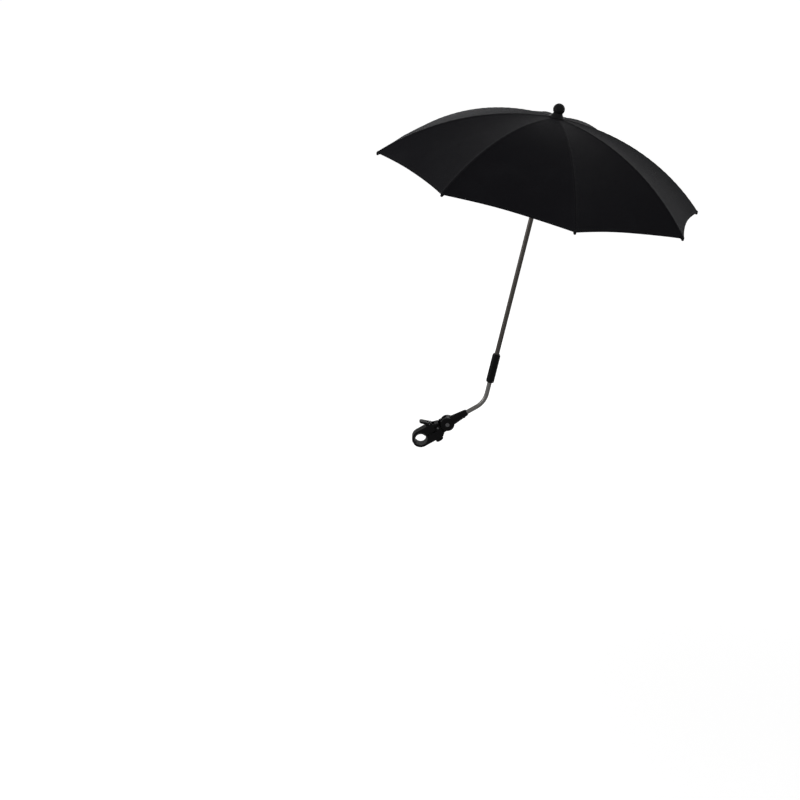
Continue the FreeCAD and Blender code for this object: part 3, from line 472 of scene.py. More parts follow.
@dataclass(frozen=True)
class PlatedSteel:
    """Zinc-plated steel of screws, pins, washers and rings."""

    name: str = "zinc_plate"
    deep: Colour = (0.032, 0.032, 0.033)
    bright: Colour = (0.08, 0.08, 0.0815)
    rough: float = 0.24
    mottle_scale: float = 520.0
    mottle_rough: float = 0.22
    grain_scale: float = 3200.0
    grain_depth: float = 0.00001

    def build(self) -> bpy.types.Material:
        """Make the material.

        Returns:
            Metal with a crystalline mottle.
        """
        shader = Shader(self.name)
        mottle = shader.noise(shader.place(), self.mottle_scale, detail=4.0, rough=0.65)
        grain = shader.noise(shader.place(), self.grain_scale)
        return shader.surface(
            Base_Color=shader.tint(mottle, self.deep, self.bright), Metallic=1.0,
            Roughness=self.rough + mottle * self.mottle_rough,
            Normal=shader.bump(grain, self.grain_depth, strength=0.5),
        )


@dataclass(frozen=True)
class LacqueredSteel:
    """Black lacquered steel of ribs and stretchers, rubbed bare here and there."""

    name: str = "rib_lacquer"
    lacquer: Colour = (0.009, 0.009, 0.0095)
    bare: Colour = (0.09, 0.088, 0.085)
    rough: float = 0.3
    coat: float = 0.25
    coat_rough: float = 0.2
    peel_scale: float = 900.0
    peel_depth: float = 0.00003
    peel_rough: float = 0.12
    rub_scale: float = 240.0
    rub_limits: Pair = (0.66, 0.74)
    rub_metal: float = 0.8
    rub_rough: float = 0.1

    def build(self) -> bpy.types.Material:
        """Make the material.

        Returns:
            Satin lacquer with small rubbed marks.
        """
        shader = Shader(self.name)
        point = shader.place()
        peel = shader.noise(point, self.peel_scale)
        rubs = shader.noise(point, self.rub_scale, detail=4.0, rough=0.7).smoothly(*self.rub_limits)
        return shader.surface(
            Base_Color=shader.tint(rubs, self.lacquer, self.bare), Metallic=rubs * self.rub_metal,
            Roughness=self.rough + peel * self.peel_rough + rubs * self.rub_rough,
            Normal=shader.bump(peel, self.peel_depth, strength=0.6), Coat_Weight=self.coat,
            Coat_Roughness=self.coat_rough,
        )


@dataclass(frozen=True)
class PadRubber:
    """Matt rubber of the jaw pads, with a fine grain and a chalky bloom."""

    name: str = "pad_rubber"
    deep: Colour = (0.008, 0.008, 0.008)
    chalk: Colour = (0.03, 0.03, 0.03)
    rough: float = 0.72
    bloom_scale: float = 120.0
    bloom_limits: Pair = (0.4, 0.8)
    bloom_rough: float = 0.2
    grain_scale: float = 1500.0
    grain_depth: float = 0.00006

    def build(self) -> bpy.types.Material:
        """Make the material.

        Returns:
            The rubber.
        """
        shader = Shader(self.name)
        bloom = shader.noise(shader.place(), self.bloom_scale, detail=4.0, rough=0.6)
        grain = shader.noise(shader.place(), self.grain_scale)
        return shader.surface(
            Base_Color=shader.tint(bloom.smoothly(*self.bloom_limits), self.deep, self.chalk),
            Roughness=self.rough + bloom * self.bloom_rough, Normal=shader.bump(grain, self.grain_depth),
        )


@dataclass(frozen=True)
class Stance:
    """Where the parasol's parts stand, from the clamp's bore."""

    clamp_rise: float = math.radians(31.0)
    pole_lean: float = math.radians(12.2)
    hinge_reach: float = 0.062
    corner_reach: float = 0.086
    pole_reach: float = 0.58

    def notch(self) -> Vector:
        """Find the point on the pole's axis in the plane of the rib pivots.

        Returns:
            The point.
        """
        arm = self.hinge_reach + self.corner_reach
        base = Vector((arm * math.cos(self.clamp_rise), 0.0, arm * math.sin(self.clamp_rise)))
        return base + self.pole_reach * Vector((math.sin(self.pole_lean), 0.0, math.cos(self.pole_lean)))

    def pole_frame(self, turn: float) -> Matrix:
        """The pole's frame, turned about the pole.

        Args:
            turn: Angle from the side that the pole leans to, in radians.
        Returns:
            The frame, with X outwards at that angle and Z along the pole.
        """
        lean = Matrix.Rotation(self.pole_lean, 4, "Y")
        return Matrix.Translation(self.notch()) @ lean @ Matrix.Rotation(turn, 4, "Z")


def deselect() -> None:
    """Leave object mode and select nothing."""
    if bpy.context.object and bpy.context.object.mode != "OBJECT":
        bpy.ops.object.mode_set(mode="OBJECT")
    bpy.ops.object.select_all(action="DESELECT")


def mesh_piece(name: str, points: Sequence[Vector], faces: Sequence[Sequence[int]],
               finish: bpy.types.Material) -> bpy.types.Object:
    """Make a smooth mesh object at the origin.

    Args:
        name: The piece's name.
        points: Its vertices in the part's frame.
        faces: Its faces.
        finish: Its material.
    Returns:
        The object.
    """
    mesh = bpy.data.meshes.new(name)
    mesh.from_pydata([tuple(p) for p in points], [], [list(f) for f in faces])
    mesh.materials.append(finish)
    mesh.polygons.foreach_set("use_smooth", [True] * len(mesh.polygons))
    mesh.update()
    mesh.set_sharp_from_angle(angle=RIM_ANGLE)
    piece = bpy.data.objects.new(name, mesh)
    bpy.context.scene.collection.objects.link(piece)
    return piece


def map_cloth(piece: bpy.types.Object, flat: Sequence[Pair]) -> None:
    """Give a shell of cloth its UV map in metres.

    Args:
        piece: The shell, with its outer points first and its inner ones after them.
        flat: The place of each outer point on the flat cloth.
    """
    layer = piece.data.uv_layers.new(name="cloth")
    for loop in piece.data.loops:
        layer.data[loop.index].uv = flat[loop.vertex_index % len(flat)]


def shell_faces(rows: int, columns: int) -> list[list[int]]:
    """Faces of a sheet with thickness whose outer and inner grids follow each other.

    Args:
        rows: Points along the sheet.
        columns: Points across it.
    Returns:
        Quads of the outer face, the inner face and the four rims, facing outwards.
    """
    inner = rows * columns
    faces: list[list[int]] = []
    for i in range(rows - 1):
        for j in range(columns - 1):
            a, b = i * columns + j, i * columns + j + 1
            c, d = b + columns, a + columns
            faces.append([a, d, c, b])
            faces.append([inner + a, inner + b, inner + c, inner + d])
    for j in range(columns - 1):
        last = (rows - 1) * columns
        faces.append([j, j + 1, inner + j + 1, inner + j])
        faces.append([last + j + 1, last + j, inner + last + j, inner + last + j + 1])
    for i in range(rows - 1):
        a, d = i * columns, (i + 1) * columns
        faces.append([d, a, inner + a, inner + d])
        e, h = a + columns - 1, d + columns - 1
        faces.append([e, h, inner + h, inner + e])
    return faces


@dataclass
class Dome:
    """The outer face of the cover: gores between the ribs, with slack, scallops and small waves."""

    stance: Stance = Stance()
    ribs: int = 8
    phase: float = math.radians(6.4)
    curve_radius: float = 0.459
    pivot_radius: float = 0.009
    outer_lift: float = 0.0032
    hub_arc: float = 0.0095
    hem_arc: float = 0.348
    scallop: float = 0.009
    sag_share: float = 0.025
    gore_slack_shares: tuple[float, ...] = (1.0, 1.0, 1.0, 0.6, -0.25, 1.0, 1.0, 1.0)
    flutter: float = 0.0009
    flutter_start_share: float = 0.55
    flutter_waves: float = 3.3
    flutter_spread: float = 1.2
    flutter_seed: int = 11
    area_strips: int = 400
    flutter_turns: list[float] = field(init=False)
    half_turn: float = field(init=False)
    curve_drop: float = field(init=False)

    def __post_init__(self) -> None:
        """Draw one flutter phase for each gore, and work out half a gore's angle and the dome's centre."""
        draw = random.Random(self.flutter_seed)
        spread = self.flutter_spread
        self.flutter_turns = [draw.uniform(-spread, spread) for _ in range(self.ribs)]
        self.half_turn = math.pi / self.ribs
        self.curve_drop = math.sqrt(self.curve_radius ** 2 - self.pivot_radius ** 2)

    def rib_frame(self, number: int) -> Matrix:
        """The frame of a rib, with X outwards over the rib and Z along the pole."""
        return self.stance.pole_frame(self.phase + 2.0 * self.half_turn * (number - 1))

    def hem_at(self, share: float) -> float:
        """The arc length at which the cloth ends, at a share of the way from rib to gore middle."""
        return self.hem_arc - self.scallop * share * (2.0 - share)

    def ridge_reach(self, arc: float) -> float:
        """How far from the pole the cloth over a rib is at that arc length."""
        return (self.curve_radius + self.outer_lift) * math.sin(arc / self.curve_radius)

    def half_width(self, arc: float) -> float:
        """From a rib to the middle of the gore at that arc length."""
        return self.ridge_reach(arc) * math.sin(self.half_turn)

    def ruffle(self, gore: int, arc: float, place: float) -> float:
        """The cloth's small waves near the hem.

        Args:
            gore: The gore's number.
            arc: Arc length from the pole.
            place: Place across the gore, -1 at its first rib and 1 at its second.
        Returns:
            Depth below the taut face.
        """
        start = self.flutter_start_share
        near_hem = max(0.0, (arc / self.hem_arc - start) / (1.0 - start)) ** 2
        wave = math.sin(self.flutter_waves * place + self.flutter_turns[gore % self.ribs])
        return self.flutter * near_hem * (1.0 - place * place) * wave

    def point(self, number: int, arc: float, share: float, side: int, depth: float) -> Vector:
        """A point of the cloth in the frame of its rib.

        Args:
            number: The rib's number.
            arc: Arc length from the pole.
            share: 0 over the rib and 1 at the middle of the gore.
            side: 1 towards the next rib and -1 towards the one before.
            depth: How far below the outer face.
        Returns:
            The point, with X outwards and Z along the pole.
        """
        angle = arc / self.curve_radius
        ridge = self.ridge_reach(arc)
        height = (self.curve_radius + self.outer_lift) * math.cos(angle) - self.curve_drop
        reach = ridge * math.cos(self.half_turn)
        across = ridge * math.sin(self.half_turn) * (1.0 - share)
        gore = number if side > 0 else number - 1
        slack = self.sag_share * self.gore_slack_shares[gore % self.ribs]
        sag = slack * 2.0 * self.half_width(arc) * (1.0 - (1.0 - share) ** 2)
        place = (share - 1.0) * side
        down = sag + depth + self.ruffle(gore, arc, place)
        inward, drop = down * math.sin(angle), down * math.cos(angle)
        x, y = reach - inward, -across
        c, s = math.cos(self.half_turn), math.sin(self.half_turn)
        out = Vector((x * c - y * s, side * (x * s + y * c), height - drop))
        if share == 0.0:
            out.y = 0.0
        return out

    def flat_area(self) -> float:
        """The flat area of one sector, summed in narrow strips along the rib.

        Returns:
            Square metres.
        """
        total = 0.0
        for i in range(self.area_strips):
            hem = self.hem_at((i + 0.5) / self.area_strips)
            middle_arc = (self.hub_arc + hem) / 2.0
            total += (hem - self.hub_arc) * self.half_width(middle_arc) / self.area_strips
        return 2.0 * total


@dataclass
class Cover:
    """The sewn cloth: one sector on each rib, joined without a break along the middle of the gores."""

    dome: Dome
    cloth: bpy.types.Material
    lining: bpy.types.Material
    thickness: float = 0.00045
    hem_width: float = 0.0065
    hem_lead_share: float = 0.25
    hem_fold: float = 0.0005
    hem_fold_slope: float = 0.0004
    hem_fold_outer_share: float = 0.3
    hem_rim: float = 0.0005
    hem_rim_share: float = 0.35
    seam_half: float = 0.0024
    seam_rise: float = 0.00024
    seam_slope: float = 0.0006
    seam_line: float = 0.0003
    seam_line_share: float = 0.55
    seam_full_width: float = 0.008
    pucker: float = 0.00014
    pucker_pitch: float = 0.015
    pucker_reach: float = 0.007
    rows: int = 130
    columns: int = 15
    hem_steps: tuple[float, ...] = (
        0.0095, 0.0078, 0.0069, 0.0065, 0.0061, 0.0045, 0.0026, 0.001, 0.0003, 0.0,
    )
    seam_steps: tuple[float, ...] = (0.0, 0.0006, 0.0015, 0.0021, 0.0025, 0.0031)
    tape_gaps: tuple[float, ...] = (-0.0052, -0.0046, -0.0016, 0.0016, 0.0046, 0.0052)
    tape_rows: int = 90
    tape_start: float = 0.02
    tape_end: float = 0.001
    tape_limit_share: float = 0.9
    tape_clearance: float = 0.00008
    tape_thickness: float = 0.0004
    tape_bevel: float = 0.00012

    def seam_lift(self, gap: float, arc: float) -> float:
        """How far the sewn seam over a rib stands proud, and its puckers.

        Args:
            gap: Distance from the rib's line.
            arc: Arc length from the pole.
        Returns:
            The rise.
        """
        flat = min(1.0, max(0.0, 1.0 - (gap - self.seam_half) / self.seam_slope))
        groove = self.seam_line_share if gap < self.seam_line else 0.0
        fade = math.exp(-(gap / self.pucker_reach) ** 2)
        wave = math.sin(2.0 * math.pi * arc / self.pucker_pitch) * fade
        return self.seam_rise * (flat - groove) + self.pucker * wave

    def shares(self, arc: float) -> list[float]:
        """Places across half a gore, close together at the seam.

        Args:
            arc: Arc length from the pole.
        Returns:
            Shares of the way from the rib to the middle of the gore.
        """
        width = self.dome.half_width(arc)
        tight = min(1.0, width / self.seam_full_width)
        near = [gap * tight / width for gap in self.seam_steps]
        rest = [near[-1] + (1.0 - near[-1]) * (i / self.columns) for i in range(1, self.columns + 1)]
        return near + rest

    def arcs(self, share: float) -> list[float]:
        """Arc lengths of the rows, close together at the hem.

        Args:
            share: Place across half a gore.
        Returns:
            The arc lengths, from the pole to the hem.
        """
        hub, hem = self.dome.hub_arc, self.dome.hem_at(share)
        last = hem - self.hem_steps[0] - self.hem_width * self.hem_lead_share
        body = [hub + (last - hub) * i / self.rows for i in range(self.rows + 1)]
        return body + [hem - step for step in self.hem_steps]

    def layers(self, arc: float, share: float) -> Pair:
        """Depths of the outer and inner face.

        Args:
            arc: Arc length from the pole.
            share: Place across half a gore.
        Returns:
            The two depths.
        """
        gap = share * self.dome.half_width(arc)
        edge = self.dome.hem_at(share) - arc
        folded = min(1.0, max(0.0, 1.0 - (edge - self.hem_width) / self.hem_fold_slope))
        rounded = 1.0 if edge > self.hem_rim else self.hem_rim_share
        fold = self.hem_fold * folded * rounded
        outer = -self.seam_lift(gap, arc) - self.hem_fold_outer_share * fold
        inner = self.thickness + (1.0 - self.hem_fold_outer_share) * fold + self.pucker
        return outer, inner

    def top_point(self, number: int, arc: float, share: float, side: int) -> Vector:
        """A point of the outer face, from the same arguments as a point of the dome."""
        return self.dome.point(number, arc, share, side, self.layers(arc, share)[0])

    def sector(self, number: int) -> bpy.types.Object:
        """The cloth of one rib.

        Args:
            number: The rib's number.
        Returns:
            A closed shell with its UV map in metres.
        """
        place = self.dome.rib_frame(number)
        row_count = self.rows + 1 + len(self.hem_steps)
        half = len(self.seam_steps) + self.columns
        columns = [(-1, j) for j in range(half - 1, 0, -1)] + [(1, j) for j in range(half)]
        outer: list[Vector] = []
        inner: list[Vector] = []
        flat: list[Pair] = []
        for i in range(row_count):
            guide = self.arcs(0.0)[i]
            across = self.shares(guide)
            for side, j in columns:
                share = across[j]
                arc = self.arcs(share)[i]
                depths = self.layers(arc, share)
                outer.append(place @ self.dome.point(number, arc, share, side, depths[0]))
                inner.append(place @ self.dome.point(number, arc, share, side, depths[1]))
                flat.append((side * share * self.dome.half_width(arc), arc))
        faces = shell_faces(row_count, len(columns))
        piece = mesh_piece(f"cover_{number}", outer + inner, faces, self.cloth)
        map_cloth(piece, flat)
        piece.data.materials.append(self.lining)
        for i in range(self.rows * (len(columns) - 1)):
            piece.data.polygons[2 * i + 1].material_index = 1
        return piece

    def seam_tape(self, number: int) -> bpy.types.Object:
        """The seam allowance inside the cover, between the cloth and its rib.

        Args:
            number: The rib's number.
        Returns:
            A thin strip with thickness.
        """
        place = self.dome.rib_frame(number)
        length = self.dome.hem_arc - self.hem_width - self.tape_start - self.tape_end
        outer: list[Vector] = []
        inner: list[Vector] = []
        flat: list[Pair] = []
        for i in range(self.tape_rows + 1):
            arc = self.tape_start + length * i / self.tape_rows
            for gap in self.tape_gaps:
                share = min(abs(gap) / self.dome.half_width(arc), self.tape_limit_share)
                side = 1 if gap >= 0.0 else -1
                edge = self.tape_bevel if abs(gap) == max(self.tape_gaps) else 0.0
                top = self.thickness + self.pucker + self.tape_clearance + edge
                low = top + self.tape_thickness - 2.0 * edge
                outer.append(place @ self.dome.point(number, arc, share, side, top))
                inner.append(place @ self.dome.point(number, arc, share, side, low))
                flat.append((gap, arc))
        faces = shell_faces(self.tape_rows + 1, len(self.tape_gaps))
        piece = mesh_piece(f"seam_tape_{number}", outer + inner, faces, self.cloth)
        map_cloth(piece, flat)
        return piece


@dataclass
class CoverThread:
    """The stitches of the cover, and the thread that holds it to its ribs."""

    dome: Dome
    cover: Cover
    thread: bpy.types.Material
    thread_sides: int = 6
    stitch_radius: float = 0.00019
    stitch_stand: float = 0.00006
    stitch_length_share: float = 0.86
    stitch_body_share: float = 0.28
    stitch_flat_share: float = 0.8
    seam_row_start: float = 0.018
    seam_row_end: float = 0.002
    seam_row_gap: float = 0.0016
    seam_row_pitch: float = 0.0028
    hem_row_start_share: float = 0.03
    hem_row_depth_share: float = 0.8
    hem_row_pitch: float = 0.0026
    tie_arcs: tuple[float, ...] = (0.085, 0.148)
    tie_low: float = -0.0028
    tie_high: float = 0.0018
    tie_half: float = 0.0019
    bind_arc: float = 0.3442
    bind_low: float = -0.0029
    bind_high: float = 0.0037
    bind_half: float = 0.0024
    bind_turns: int = 4
    bind_pitch: float = 0.0005
    bind_radius: float = 0.00026
    loop_steps: int = 20

    def stitch(self, first: Vector, second: Vector) -> list[Vector]:
        """Vertices of one stitch: a flattened spindle on the cloth.

        Args:
            first: The needle hole that it comes from.
            second: The needle hole that it goes to.
        Returns:
            Its first tip, two rings and its second tip.
        """
        along = (second - first).normalized()
        length = (second - first).length * self.stitch_length_share
        halfway = (first + second) / 2.0
        up = Vector((halfway.x, halfway.y, halfway.z + self.dome.curve_drop)).normalized()
        up = (up - along * up.dot(along)).normalized()
        across = along.cross(up)
        middle = halfway + up * self.stitch_stand
        low = up * (self.stitch_radius * self.stitch_flat_share)
        points = [middle - along * (length / 2.0) - low]
        for end in (-self.stitch_body_share, self.stitch_body_share):
            for k in range(self.thread_sides):
                angle = 2.0 * math.pi * k / self.thread_sides
                ring = across * (self.stitch_radius * math.cos(angle)) + low * math.sin(angle)
                points.append(middle + along * (end * length) + ring)
        points.append(middle + along * (length / 2.0) - low)
        return points

    def stitch_faces(self, base: int) -> list[list[int]]:
        """Faces of one stitch.

        Args:
            base: The number of its first vertex.
        Returns:
            The faces of its tips and its body.
        """
        sides = self.thread_sides
        front, back = base + 1, base + 1 + sides
        faces = []
        for k in range(sides):
            n = (k + 1) % sides
            faces.append([base, front + k, front + n])
            faces.append([front + k, back + k, back + n, front + n])
            faces.append([back + sides, back + n, back + k])
        return faces

    def seam_row(self, number: int, side: int) -> list[Vector]:
        """Needle holes along one side of the seam over a rib.

        Args:
            number: The rib's number.
            side: 1 towards the next rib and -1 towards the one before.
        Returns:
            The holes, in the frame of the rib.
        """
        length = self.dome.hem_arc - self.seam_row_start - self.seam_row_end
        steps = int(length / self.seam_row_pitch)
        holes = []
        for i in range(steps + 1):
            arc = self.seam_row_start + length * i / steps
            share = self.seam_row_gap / self.dome.half_width(arc)
            holes.append(self.cover.top_point(number, arc, share, side))
        return holes

    def hem_row(self, number: int, side: int) -> list[Vector]:
        """Needle holes along the hem on one side of a rib.

        Args:
            number: The rib's number.
            side: 1 towards the next rib and -1 towards the one before.
        Returns:
            The holes, in the frame of the rib.
        """
        start = self.hem_row_start_share
        steps = int(self.dome.half_width(self.dome.hem_arc) / self.hem_row_pitch)
        holes = []
        for i in range(steps + 1):
            share = start + (1.0 - start) * i / steps
            arc = self.dome.hem_at(share) - self.cover.hem_width * self.hem_row_depth_share
            holes.append(self.cover.top_point(number, arc, share, side))
        return holes

    def stitch_rows(self, number: int) -> bpy.types.Object:
        """The thread of one sector: a row on each side of the seam and a row along the hem.

        Args:
            number: The rib's number.
        Returns:
            The stitches as one mesh.
        """
        place = self.dome.rib_frame(number)
        rows = [make_row(number, side) for make_row in (self.seam_row, self.hem_row) for side in (-1, 1)]
        points: list[Vector] = []
        faces: list[list[int]] = []
        for row in rows:
            for first, second in zip(row, row[1:]):
                faces.extend(self.stitch_faces(len(points)))
                points.extend(place @ p for p in self.stitch(first, second))
        return mesh_piece(f"cover_thread_{number}", points, faces, self.thread)

    def loop_of_thread(self, arc: float, low: float, high: float, half: float) -> list[Vector]:
        """Vertices of one turn of thread round a rib.

        Args:
            arc: Where along the rib.
            low: The loop's lower side, from the rib's line.
            high: Its upper side.
            half: Half its width.
        Returns:
            Rings of vertices along the loop, in the rib's frame.
        """
        radius = self.dome.curve_radius
        angle = arc / radius
        out = Vector((math.sin(angle), 0.0, math.cos(angle)))
        onward = Vector((math.cos(angle), 0.0, -math.sin(angle)))
        side = Vector((0.0, 1.0, 0.0))
        middle = out * (radius + (low + high) / 2.0) - Vector((0.0, 0.0, self.dome.curve_drop))
        points = []
        for i in range(self.loop_steps):
            turn = 2.0 * math.pi * i / self.loop_steps
            c, s = math.cos(turn), math.sin(turn)
            wide = math.copysign(math.sqrt(abs(c)), c) * half
            tall = math.copysign(math.sqrt(abs(s)), s) * (high - low) / 2.0
            away = (side * c + out * s).normalized()
            for k in range(self.thread_sides):
                roll = 2.0 * math.pi * k / self.thread_sides
                offset = away * math.cos(roll) + onward * math.sin(roll)
                points.append(middle + side * wide + out * tall + offset * self.bind_radius)
        return points

    def loop_faces(self, base: int) -> list[list[int]]:
        """Faces of one turn of thread.

        Args:
            base: The number of its first vertex.
        Returns:
            Quads from each ring to the next.
        """
        sides = self.thread_sides
        faces = []
        for i in range(self.loop_steps):
            here, there = base + sides * i, base + sides * ((i + 1) % self.loop_steps)
            for k in range(sides):
                n = (k + 1) % sides
                faces.append([here + k, there + k, there + n, here + n])
        return faces

    def ties(self, number: int) -> bpy.types.Object:
        """The thread that ties the cover to its rib and binds its corner to the rib's tip.

        Args:
            number: The rib's number.
        Returns:
            All turns of thread as one mesh.
        """
        place = self.dome.rib_frame(number)
        spots = [(arc, self.tie_low, self.tie_high, self.tie_half) for arc in self.tie_arcs]
        spots.append((self.bind_arc, self.bind_low, self.bind_high, self.bind_half))
        points: list[Vector] = []
        faces: list[list[int]] = []
        for arc, low, high, half in spots:
            for i in range(self.bind_turns):
                faces.extend(self.loop_faces(len(points)))
                turn = self.loop_of_thread(arc + i * self.bind_pitch, low, high, half)
                points.extend(place @ p for p in turn)
        return mesh_piece(f"rib_tie_{number}", points, faces, self.thread)


@dataclass
class Canopy:
    """The cover with its thread, carried by the ribs."""

    dome: Dome
    cover: Cover
    sewing: CoverThread
    fold_keep_share: float = 0.42

    def build(self) -> None:
        """Make every sector and hang it on its rib."""
        sheet_area = self.dome.flat_area()
        for number in range(1, self.dome.ribs + 1):
            cover = self.cover.sector(number)
            extras = [self.sewing.stitch_rows(number), self.cover.seam_tape(number)]
            place = self.dome.rib_frame(number)
            for piece in [cover, *extras]:
                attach(piece, f"rib_{number}")
                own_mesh(piece)
            tie = self.sewing.ties(number)
            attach(tie, f"rib_{number}")
            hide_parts(f"canopy_panel_{number}")
            width = 2.0 * self.dome.half_width(self.dome.hem_arc)
            log.info("%s: %d faces", cover.name, len(cover.data.polygons))


@dataclass
class LeverGrip:
    """Raised bars across the lever's paddle, for the thumb."""

    finish: bpy.types.Material
    stance: Stance = Stance()
    pivot_reach: float = 0.031
    pivot_height: float = 0.0177
    paddle_angle: float = math.radians(135.0)
    paddle_length: float = 0.019
    paddle_fall: float = 0.0007
    paddle_root: float = 0.0027
    bars: int = 4
    first_bar: float = 0.0096
    pitch: float = 0.0021
    bar_size: Triple = (0.0011, 0.0098, 0.0008)
    bar_sink: float = 0.0002
    draft_shares: Triple = (0.62, 0.94, 1.0)
    rounding: float = 0.00012
    rounding_steps: int = 2
    upward: float = 0.9

    def bar(self) -> bpy.types.Object:
        """Model one bar at the origin: a drafted block with rounded edges.

        Returns:
            The bar, lying along Y, with its foot at the height of the origin.
        """
        deselect()
        bpy.ops.mesh.primitive_cube_add(size=1.0, location=(0.0, 0.0, self.bar_size[2] / 2.0))
        piece = bpy.context.object
        piece.scale = self.bar_size
        bpy.ops.object.transform_apply(location=True, rotation=True, scale=True)
        bpy.ops.object.mode_set(mode="EDIT")
        bpy.ops.mesh.select_all(action="DESELECT")
        bpy.ops.object.mode_set(mode="OBJECT")
        for face in piece.data.polygons:
            face.select = face.normal.z > self.upward
        bpy.ops.object.mode_set(mode="EDIT")
        bpy.ops.transform.resize(value=self.draft_shares)
        bpy.ops.mesh.select_all(action="SELECT")
        bpy.ops.mesh.bevel(offset=self.rounding, segments=self.rounding_steps, affect="EDGES")
        bpy.ops.mesh.normals_make_consistent(inside=False)
        bpy.ops.object.mode_set(mode="OBJECT")
        bpy.ops.object.shade_smooth_by_angle(angle=RIM_ANGLE)
        return piece

    def build(self) -> None:
        """Set copies of the bar along the paddle's upper face as one piece."""
        rise = Matrix.Rotation(-self.stance.clamp_rise, 4, "Y")
        pivot = Matrix.Translation(Vector((self.pivot_reach, 0.0, self.pivot_height)))
        taper = math.atan2(self.paddle_fall, self.paddle_length)
        paddle = Matrix.Rotation(math.pi - self.paddle_angle - taper, 4, "Y")
        lift = self.paddle_root - self.bar_sink
        pattern = self.bar()
        copies = []
        for i in range(self.bars):
            reach = -(self.first_bar + i * self.pitch)
            copy = bpy.data.objects.new(f"lever_bar_{i + 1}", pattern.data.copy())
            bpy.context.scene.collection.objects.link(copy)
            copy.data.transform(rise @ pivot @ paddle @ Matrix.Translation(Vector((reach, 0.0, lift))))
            copies.append(copy)
        bpy.data.objects.remove(pattern)
        deselect()
        for copy in copies:
            copy.select_set(True)
        bpy.context.view_layer.objects.active = copies[0]
        bpy.ops.object.join()
        grip = copies[0]
        grip.name = "lever_grip"
        grip.data.materials.clear()
        grip.data.materials.append(self.finish)
        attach(grip, "lever")
        log.info("%s: %d faces", grip.name, len(grip.data.polygons))


class Finish(Enum):
    """The finishes of the carried-over nodes."""

    PLASTIC = "black_plastic"
    GLOSS = "gloss_black"
    POLE = "pole_steel"
    ROD = "rod_steel"
    RIB = "rib_steel"
    ZINC = "zinc"
    RUBBER = "pad_rubber"


@dataclass
class Hardware:
    """The nodes that stay as modelled, and the finish of each."""

    finishes: dict[Finish, bpy.types.Material]

    def build(self) -> None:
        """Give each shown node the finish of its material slot."""
        for entry in frame["record"]["subparts"]:
            node = frame["nodes"][entry["node"]]
            if entry["material_slot"] == "cover":
                continue
            finish = self.finishes[Finish(entry["material_slot"])]
            node.data.materials.clear()
            node.data.materials.append(finish)
            log.info("%s: %s", entry["node"], finish.name)


@dataclass(frozen=True)
class Lamp:
    """A soft square lamp aimed at the middle of the parasol, its power in watts."""

    name: str
    place: Triple
    side: float
    power: float

    def build(self, aim: Triple) -> None:
        """Hang the lamp.

        Args:
            aim: The point that it faces.
        """
        data = bpy.data.lights.new(self.name, "AREA")
        data.shape = "SQUARE"
        data.size = self.side
        data.energy = self.power
        lamp = bpy.data.objects.new(self.name, data)
        bpy.context.scene.collection.objects.link(lamp)
        lamp.location = self.place
        direction = Vector(aim) - Vector(self.place)
        lamp.rotation_euler = direction.to_track_quat("-Z", "Y").to_euler()


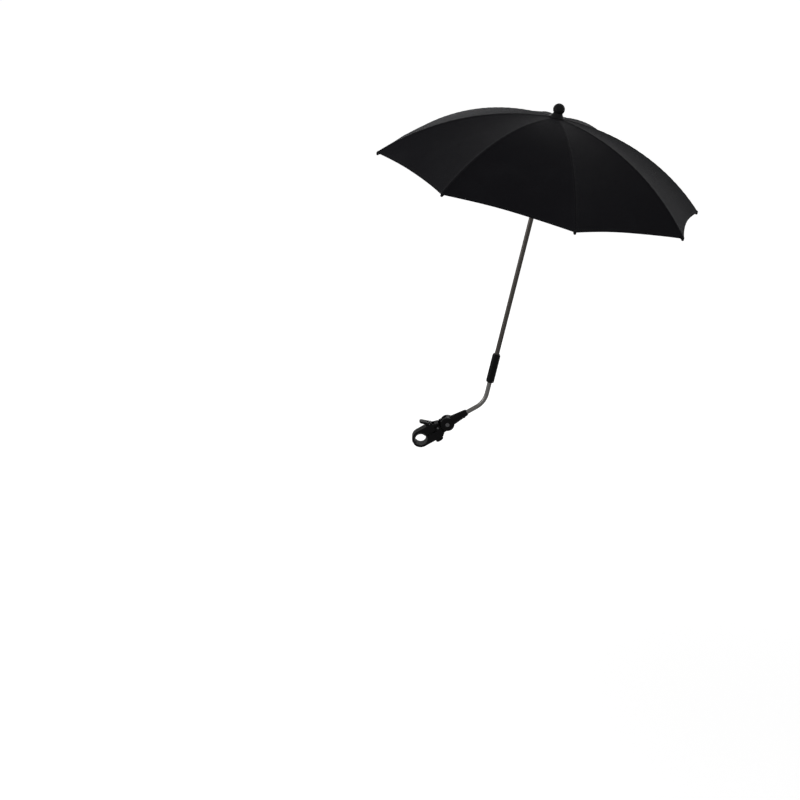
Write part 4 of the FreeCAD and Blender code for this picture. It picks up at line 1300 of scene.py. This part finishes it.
@dataclass
class Studio:
    """Floor, light and camera."""

    lamps: tuple[Lamp, ...] = (
        Lamp("key_light", (0.3, -2.2, 2.2), 1.4, 15.6),
        Lamp("fill_light", (-2.3, -0.6, 0.8), 1.0, 36.0),
        Lamp("back_light", (0.4, 2.6, 1.1), 1.4, 11.7),
        Lamp("rim_light", (1.6, 2.2, 1.0), 1.4, 5.2),
    )
    lamp_aim: Triple = (0.2, 0.0, 0.4)
    floor_level: float = -0.62
    floor_side: float = 60.0
    floor_shade: float = 0.8
    floor_rough: float = 0.9
    near_glow: float = 0.32
    far_glow: float = 0.58
    lamp_pool: Pair = (0.3, 3.5)
    front_edge: Pair = (0.35, 0.85)
    eye_level: float = 1.0
    light_level: float = 0.55
    camera_place: Triple = (-0.0416, -2.958, 1.2631)
    camera_pitch: float = math.radians(21.78)
    focal_pixels: float = 1600.0
    frame_pixels: float = 800.0
    sensor: float = 36.0
    clip: Pair = (0.05, 200.0)

    def build(self) -> None:
        """Make the studio."""
        self.floor()
        self.world()
        for lamp in self.lamps:
            lamp.build(self.lamp_aim)
        self.camera()

    def floor(self) -> None:
        """A wide floor that looks white to the camera and keeps the shadow."""
        deselect()
        bpy.ops.mesh.primitive_plane_add(size=self.floor_side, location=(0.0, 0.0, self.floor_level))
        plane = bpy.context.object
        plane.name = "floor"
        shader = Shader("pale_floor")
        point = shader.place()
        from_middle = shader.node("ShaderNodeVectorMath", {"operation": "LENGTH"}, {0: point}, "Value")
        far = from_middle.smoothly(*self.lamp_pool)
        glow = far * (self.far_glow - self.near_glow) + self.near_glow
        seen = self.seen(shader, point)
        shader.seen_from_above()
        shader.surface(
            Base_Color=(self.floor_shade,) * 3, Roughness=self.floor_rough, Specular_IOR_Level=0.0,
            Emission_Color=shader.tint(seen * glow, (0.0, 0.0, 0.0), (1.0, 1.0, 1.0)), Emission_Strength=1.0,
        )
        plane.data.materials.append(shader.material)

    def world(self) -> None:
        """A surround that is white to the camera, bright in front to metal and a soft light to the rest."""
        world = bpy.data.worlds.new("studio")
        bpy.context.scene.world = world
        world.use_nodes = True
        graph = Graph(world.node_tree)
        direction = graph.node("ShaderNodeTexCoord", {}, {}, "Generated")
        seen = self.seen(graph, direction)
        back = world.node_tree.nodes["Background"]
        graph.feed(back.inputs["Color"], (1.0, 1.0, 1.0))
        graph.feed(back.inputs["Strength"], seen * (self.eye_level - self.light_level) + self.light_level)

    def seen(self, graph: Graph, point: Value) -> Value:
        """How far a ray sees the white surround and not the light level.

        Args:
            graph: The node tree of the floor or the world.
            point: The place on the floor, or the ray's direction.
        Returns:
            1 for the camera's rays, and for mirrored and bent rays on the camera's side.
        """
        depth = graph.node("ShaderNodeSeparateXYZ", {}, {"Vector": point}, "Y")
        bounced = graph.ray("Is Glossy Ray") + graph.ray("Is Transmission Ray")
        return graph.ray("Is Camera Ray") + bounced * (1.0 - depth.smoothly(*self.front_edge))

    def camera(self) -> None:
        """The camera of the photograph."""
        data = bpy.data.cameras.new("camera")
        data.sensor_width = self.sensor
        data.lens = self.focal_pixels / self.frame_pixels * self.sensor
        data.clip_start, data.clip_end = self.clip
        camera = bpy.data.objects.new("camera", data)
        bpy.context.scene.collection.objects.link(camera)
        camera.location = self.camera_place
        camera.rotation_euler = (math.pi / 2.0 - self.camera_pitch, 0.0, 0.0)
        bpy.context.scene.camera = camera


def main() -> None:
    """Dress the parasol and set up the studio."""
    logging.basicConfig(level=logging.INFO, format="%(name)s %(message)s")
    stance = Stance()
    bpy.context.scene.view_settings.view_transform = "Standard"
    pole_turn = (0.0, -stance.pole_lean, 0.0)
    smooth_plastic = MouldedPlastic(
        "gloss_black", deep=(0.006, 0.006, 0.0063), rubbed=(0.012, 0.012, 0.0124), rough=0.34, gloss=0.035,
        grain_depth=0.00001,
    )
    pole_steel = DrawnSteel(
        "pole_steel", deep=(0.02, 0.018, 0.016), bright=(0.062, 0.057, 0.052), turn=pole_turn,
    )
    rod_steel = DrawnSteel(
        "rod_steel", deep=(0.05, 0.0485, 0.0465), bright=(0.125, 0.121, 0.116), turn=pole_turn,
    )
    finishes = {
        Finish.PLASTIC: MouldedPlastic("moulded_black").build(),
        Finish.GLOSS: smooth_plastic.build(),
        Finish.POLE: pole_steel.build(),
        Finish.ROD: rod_steel.build(),
        Finish.RIB: LacqueredSteel().build(),
        Finish.ZINC: PlatedSteel().build(),
        Finish.RUBBER: PadRubber().build(),
    }
    Hardware(finishes).build()
    LeverGrip(finishes[Finish.PLASTIC], stance).build()
    lining = WovenCloth(
        "cover_lining", deep=(0.009, 0.009, 0.0095), pale=(0.013, 0.013, 0.0138), dust=(0.019, 0.019, 0.02),
        sheen=0.02, weave_depth=0.00004,
    )
    dome = Dome(stance)
    cover = Cover(dome, WovenCloth().build(), lining.build())
    Canopy(dome, cover, CoverThread(dome, cover, SewingThread().build())).build()
    Studio().build()


if __name__ == "__main__":
    main()
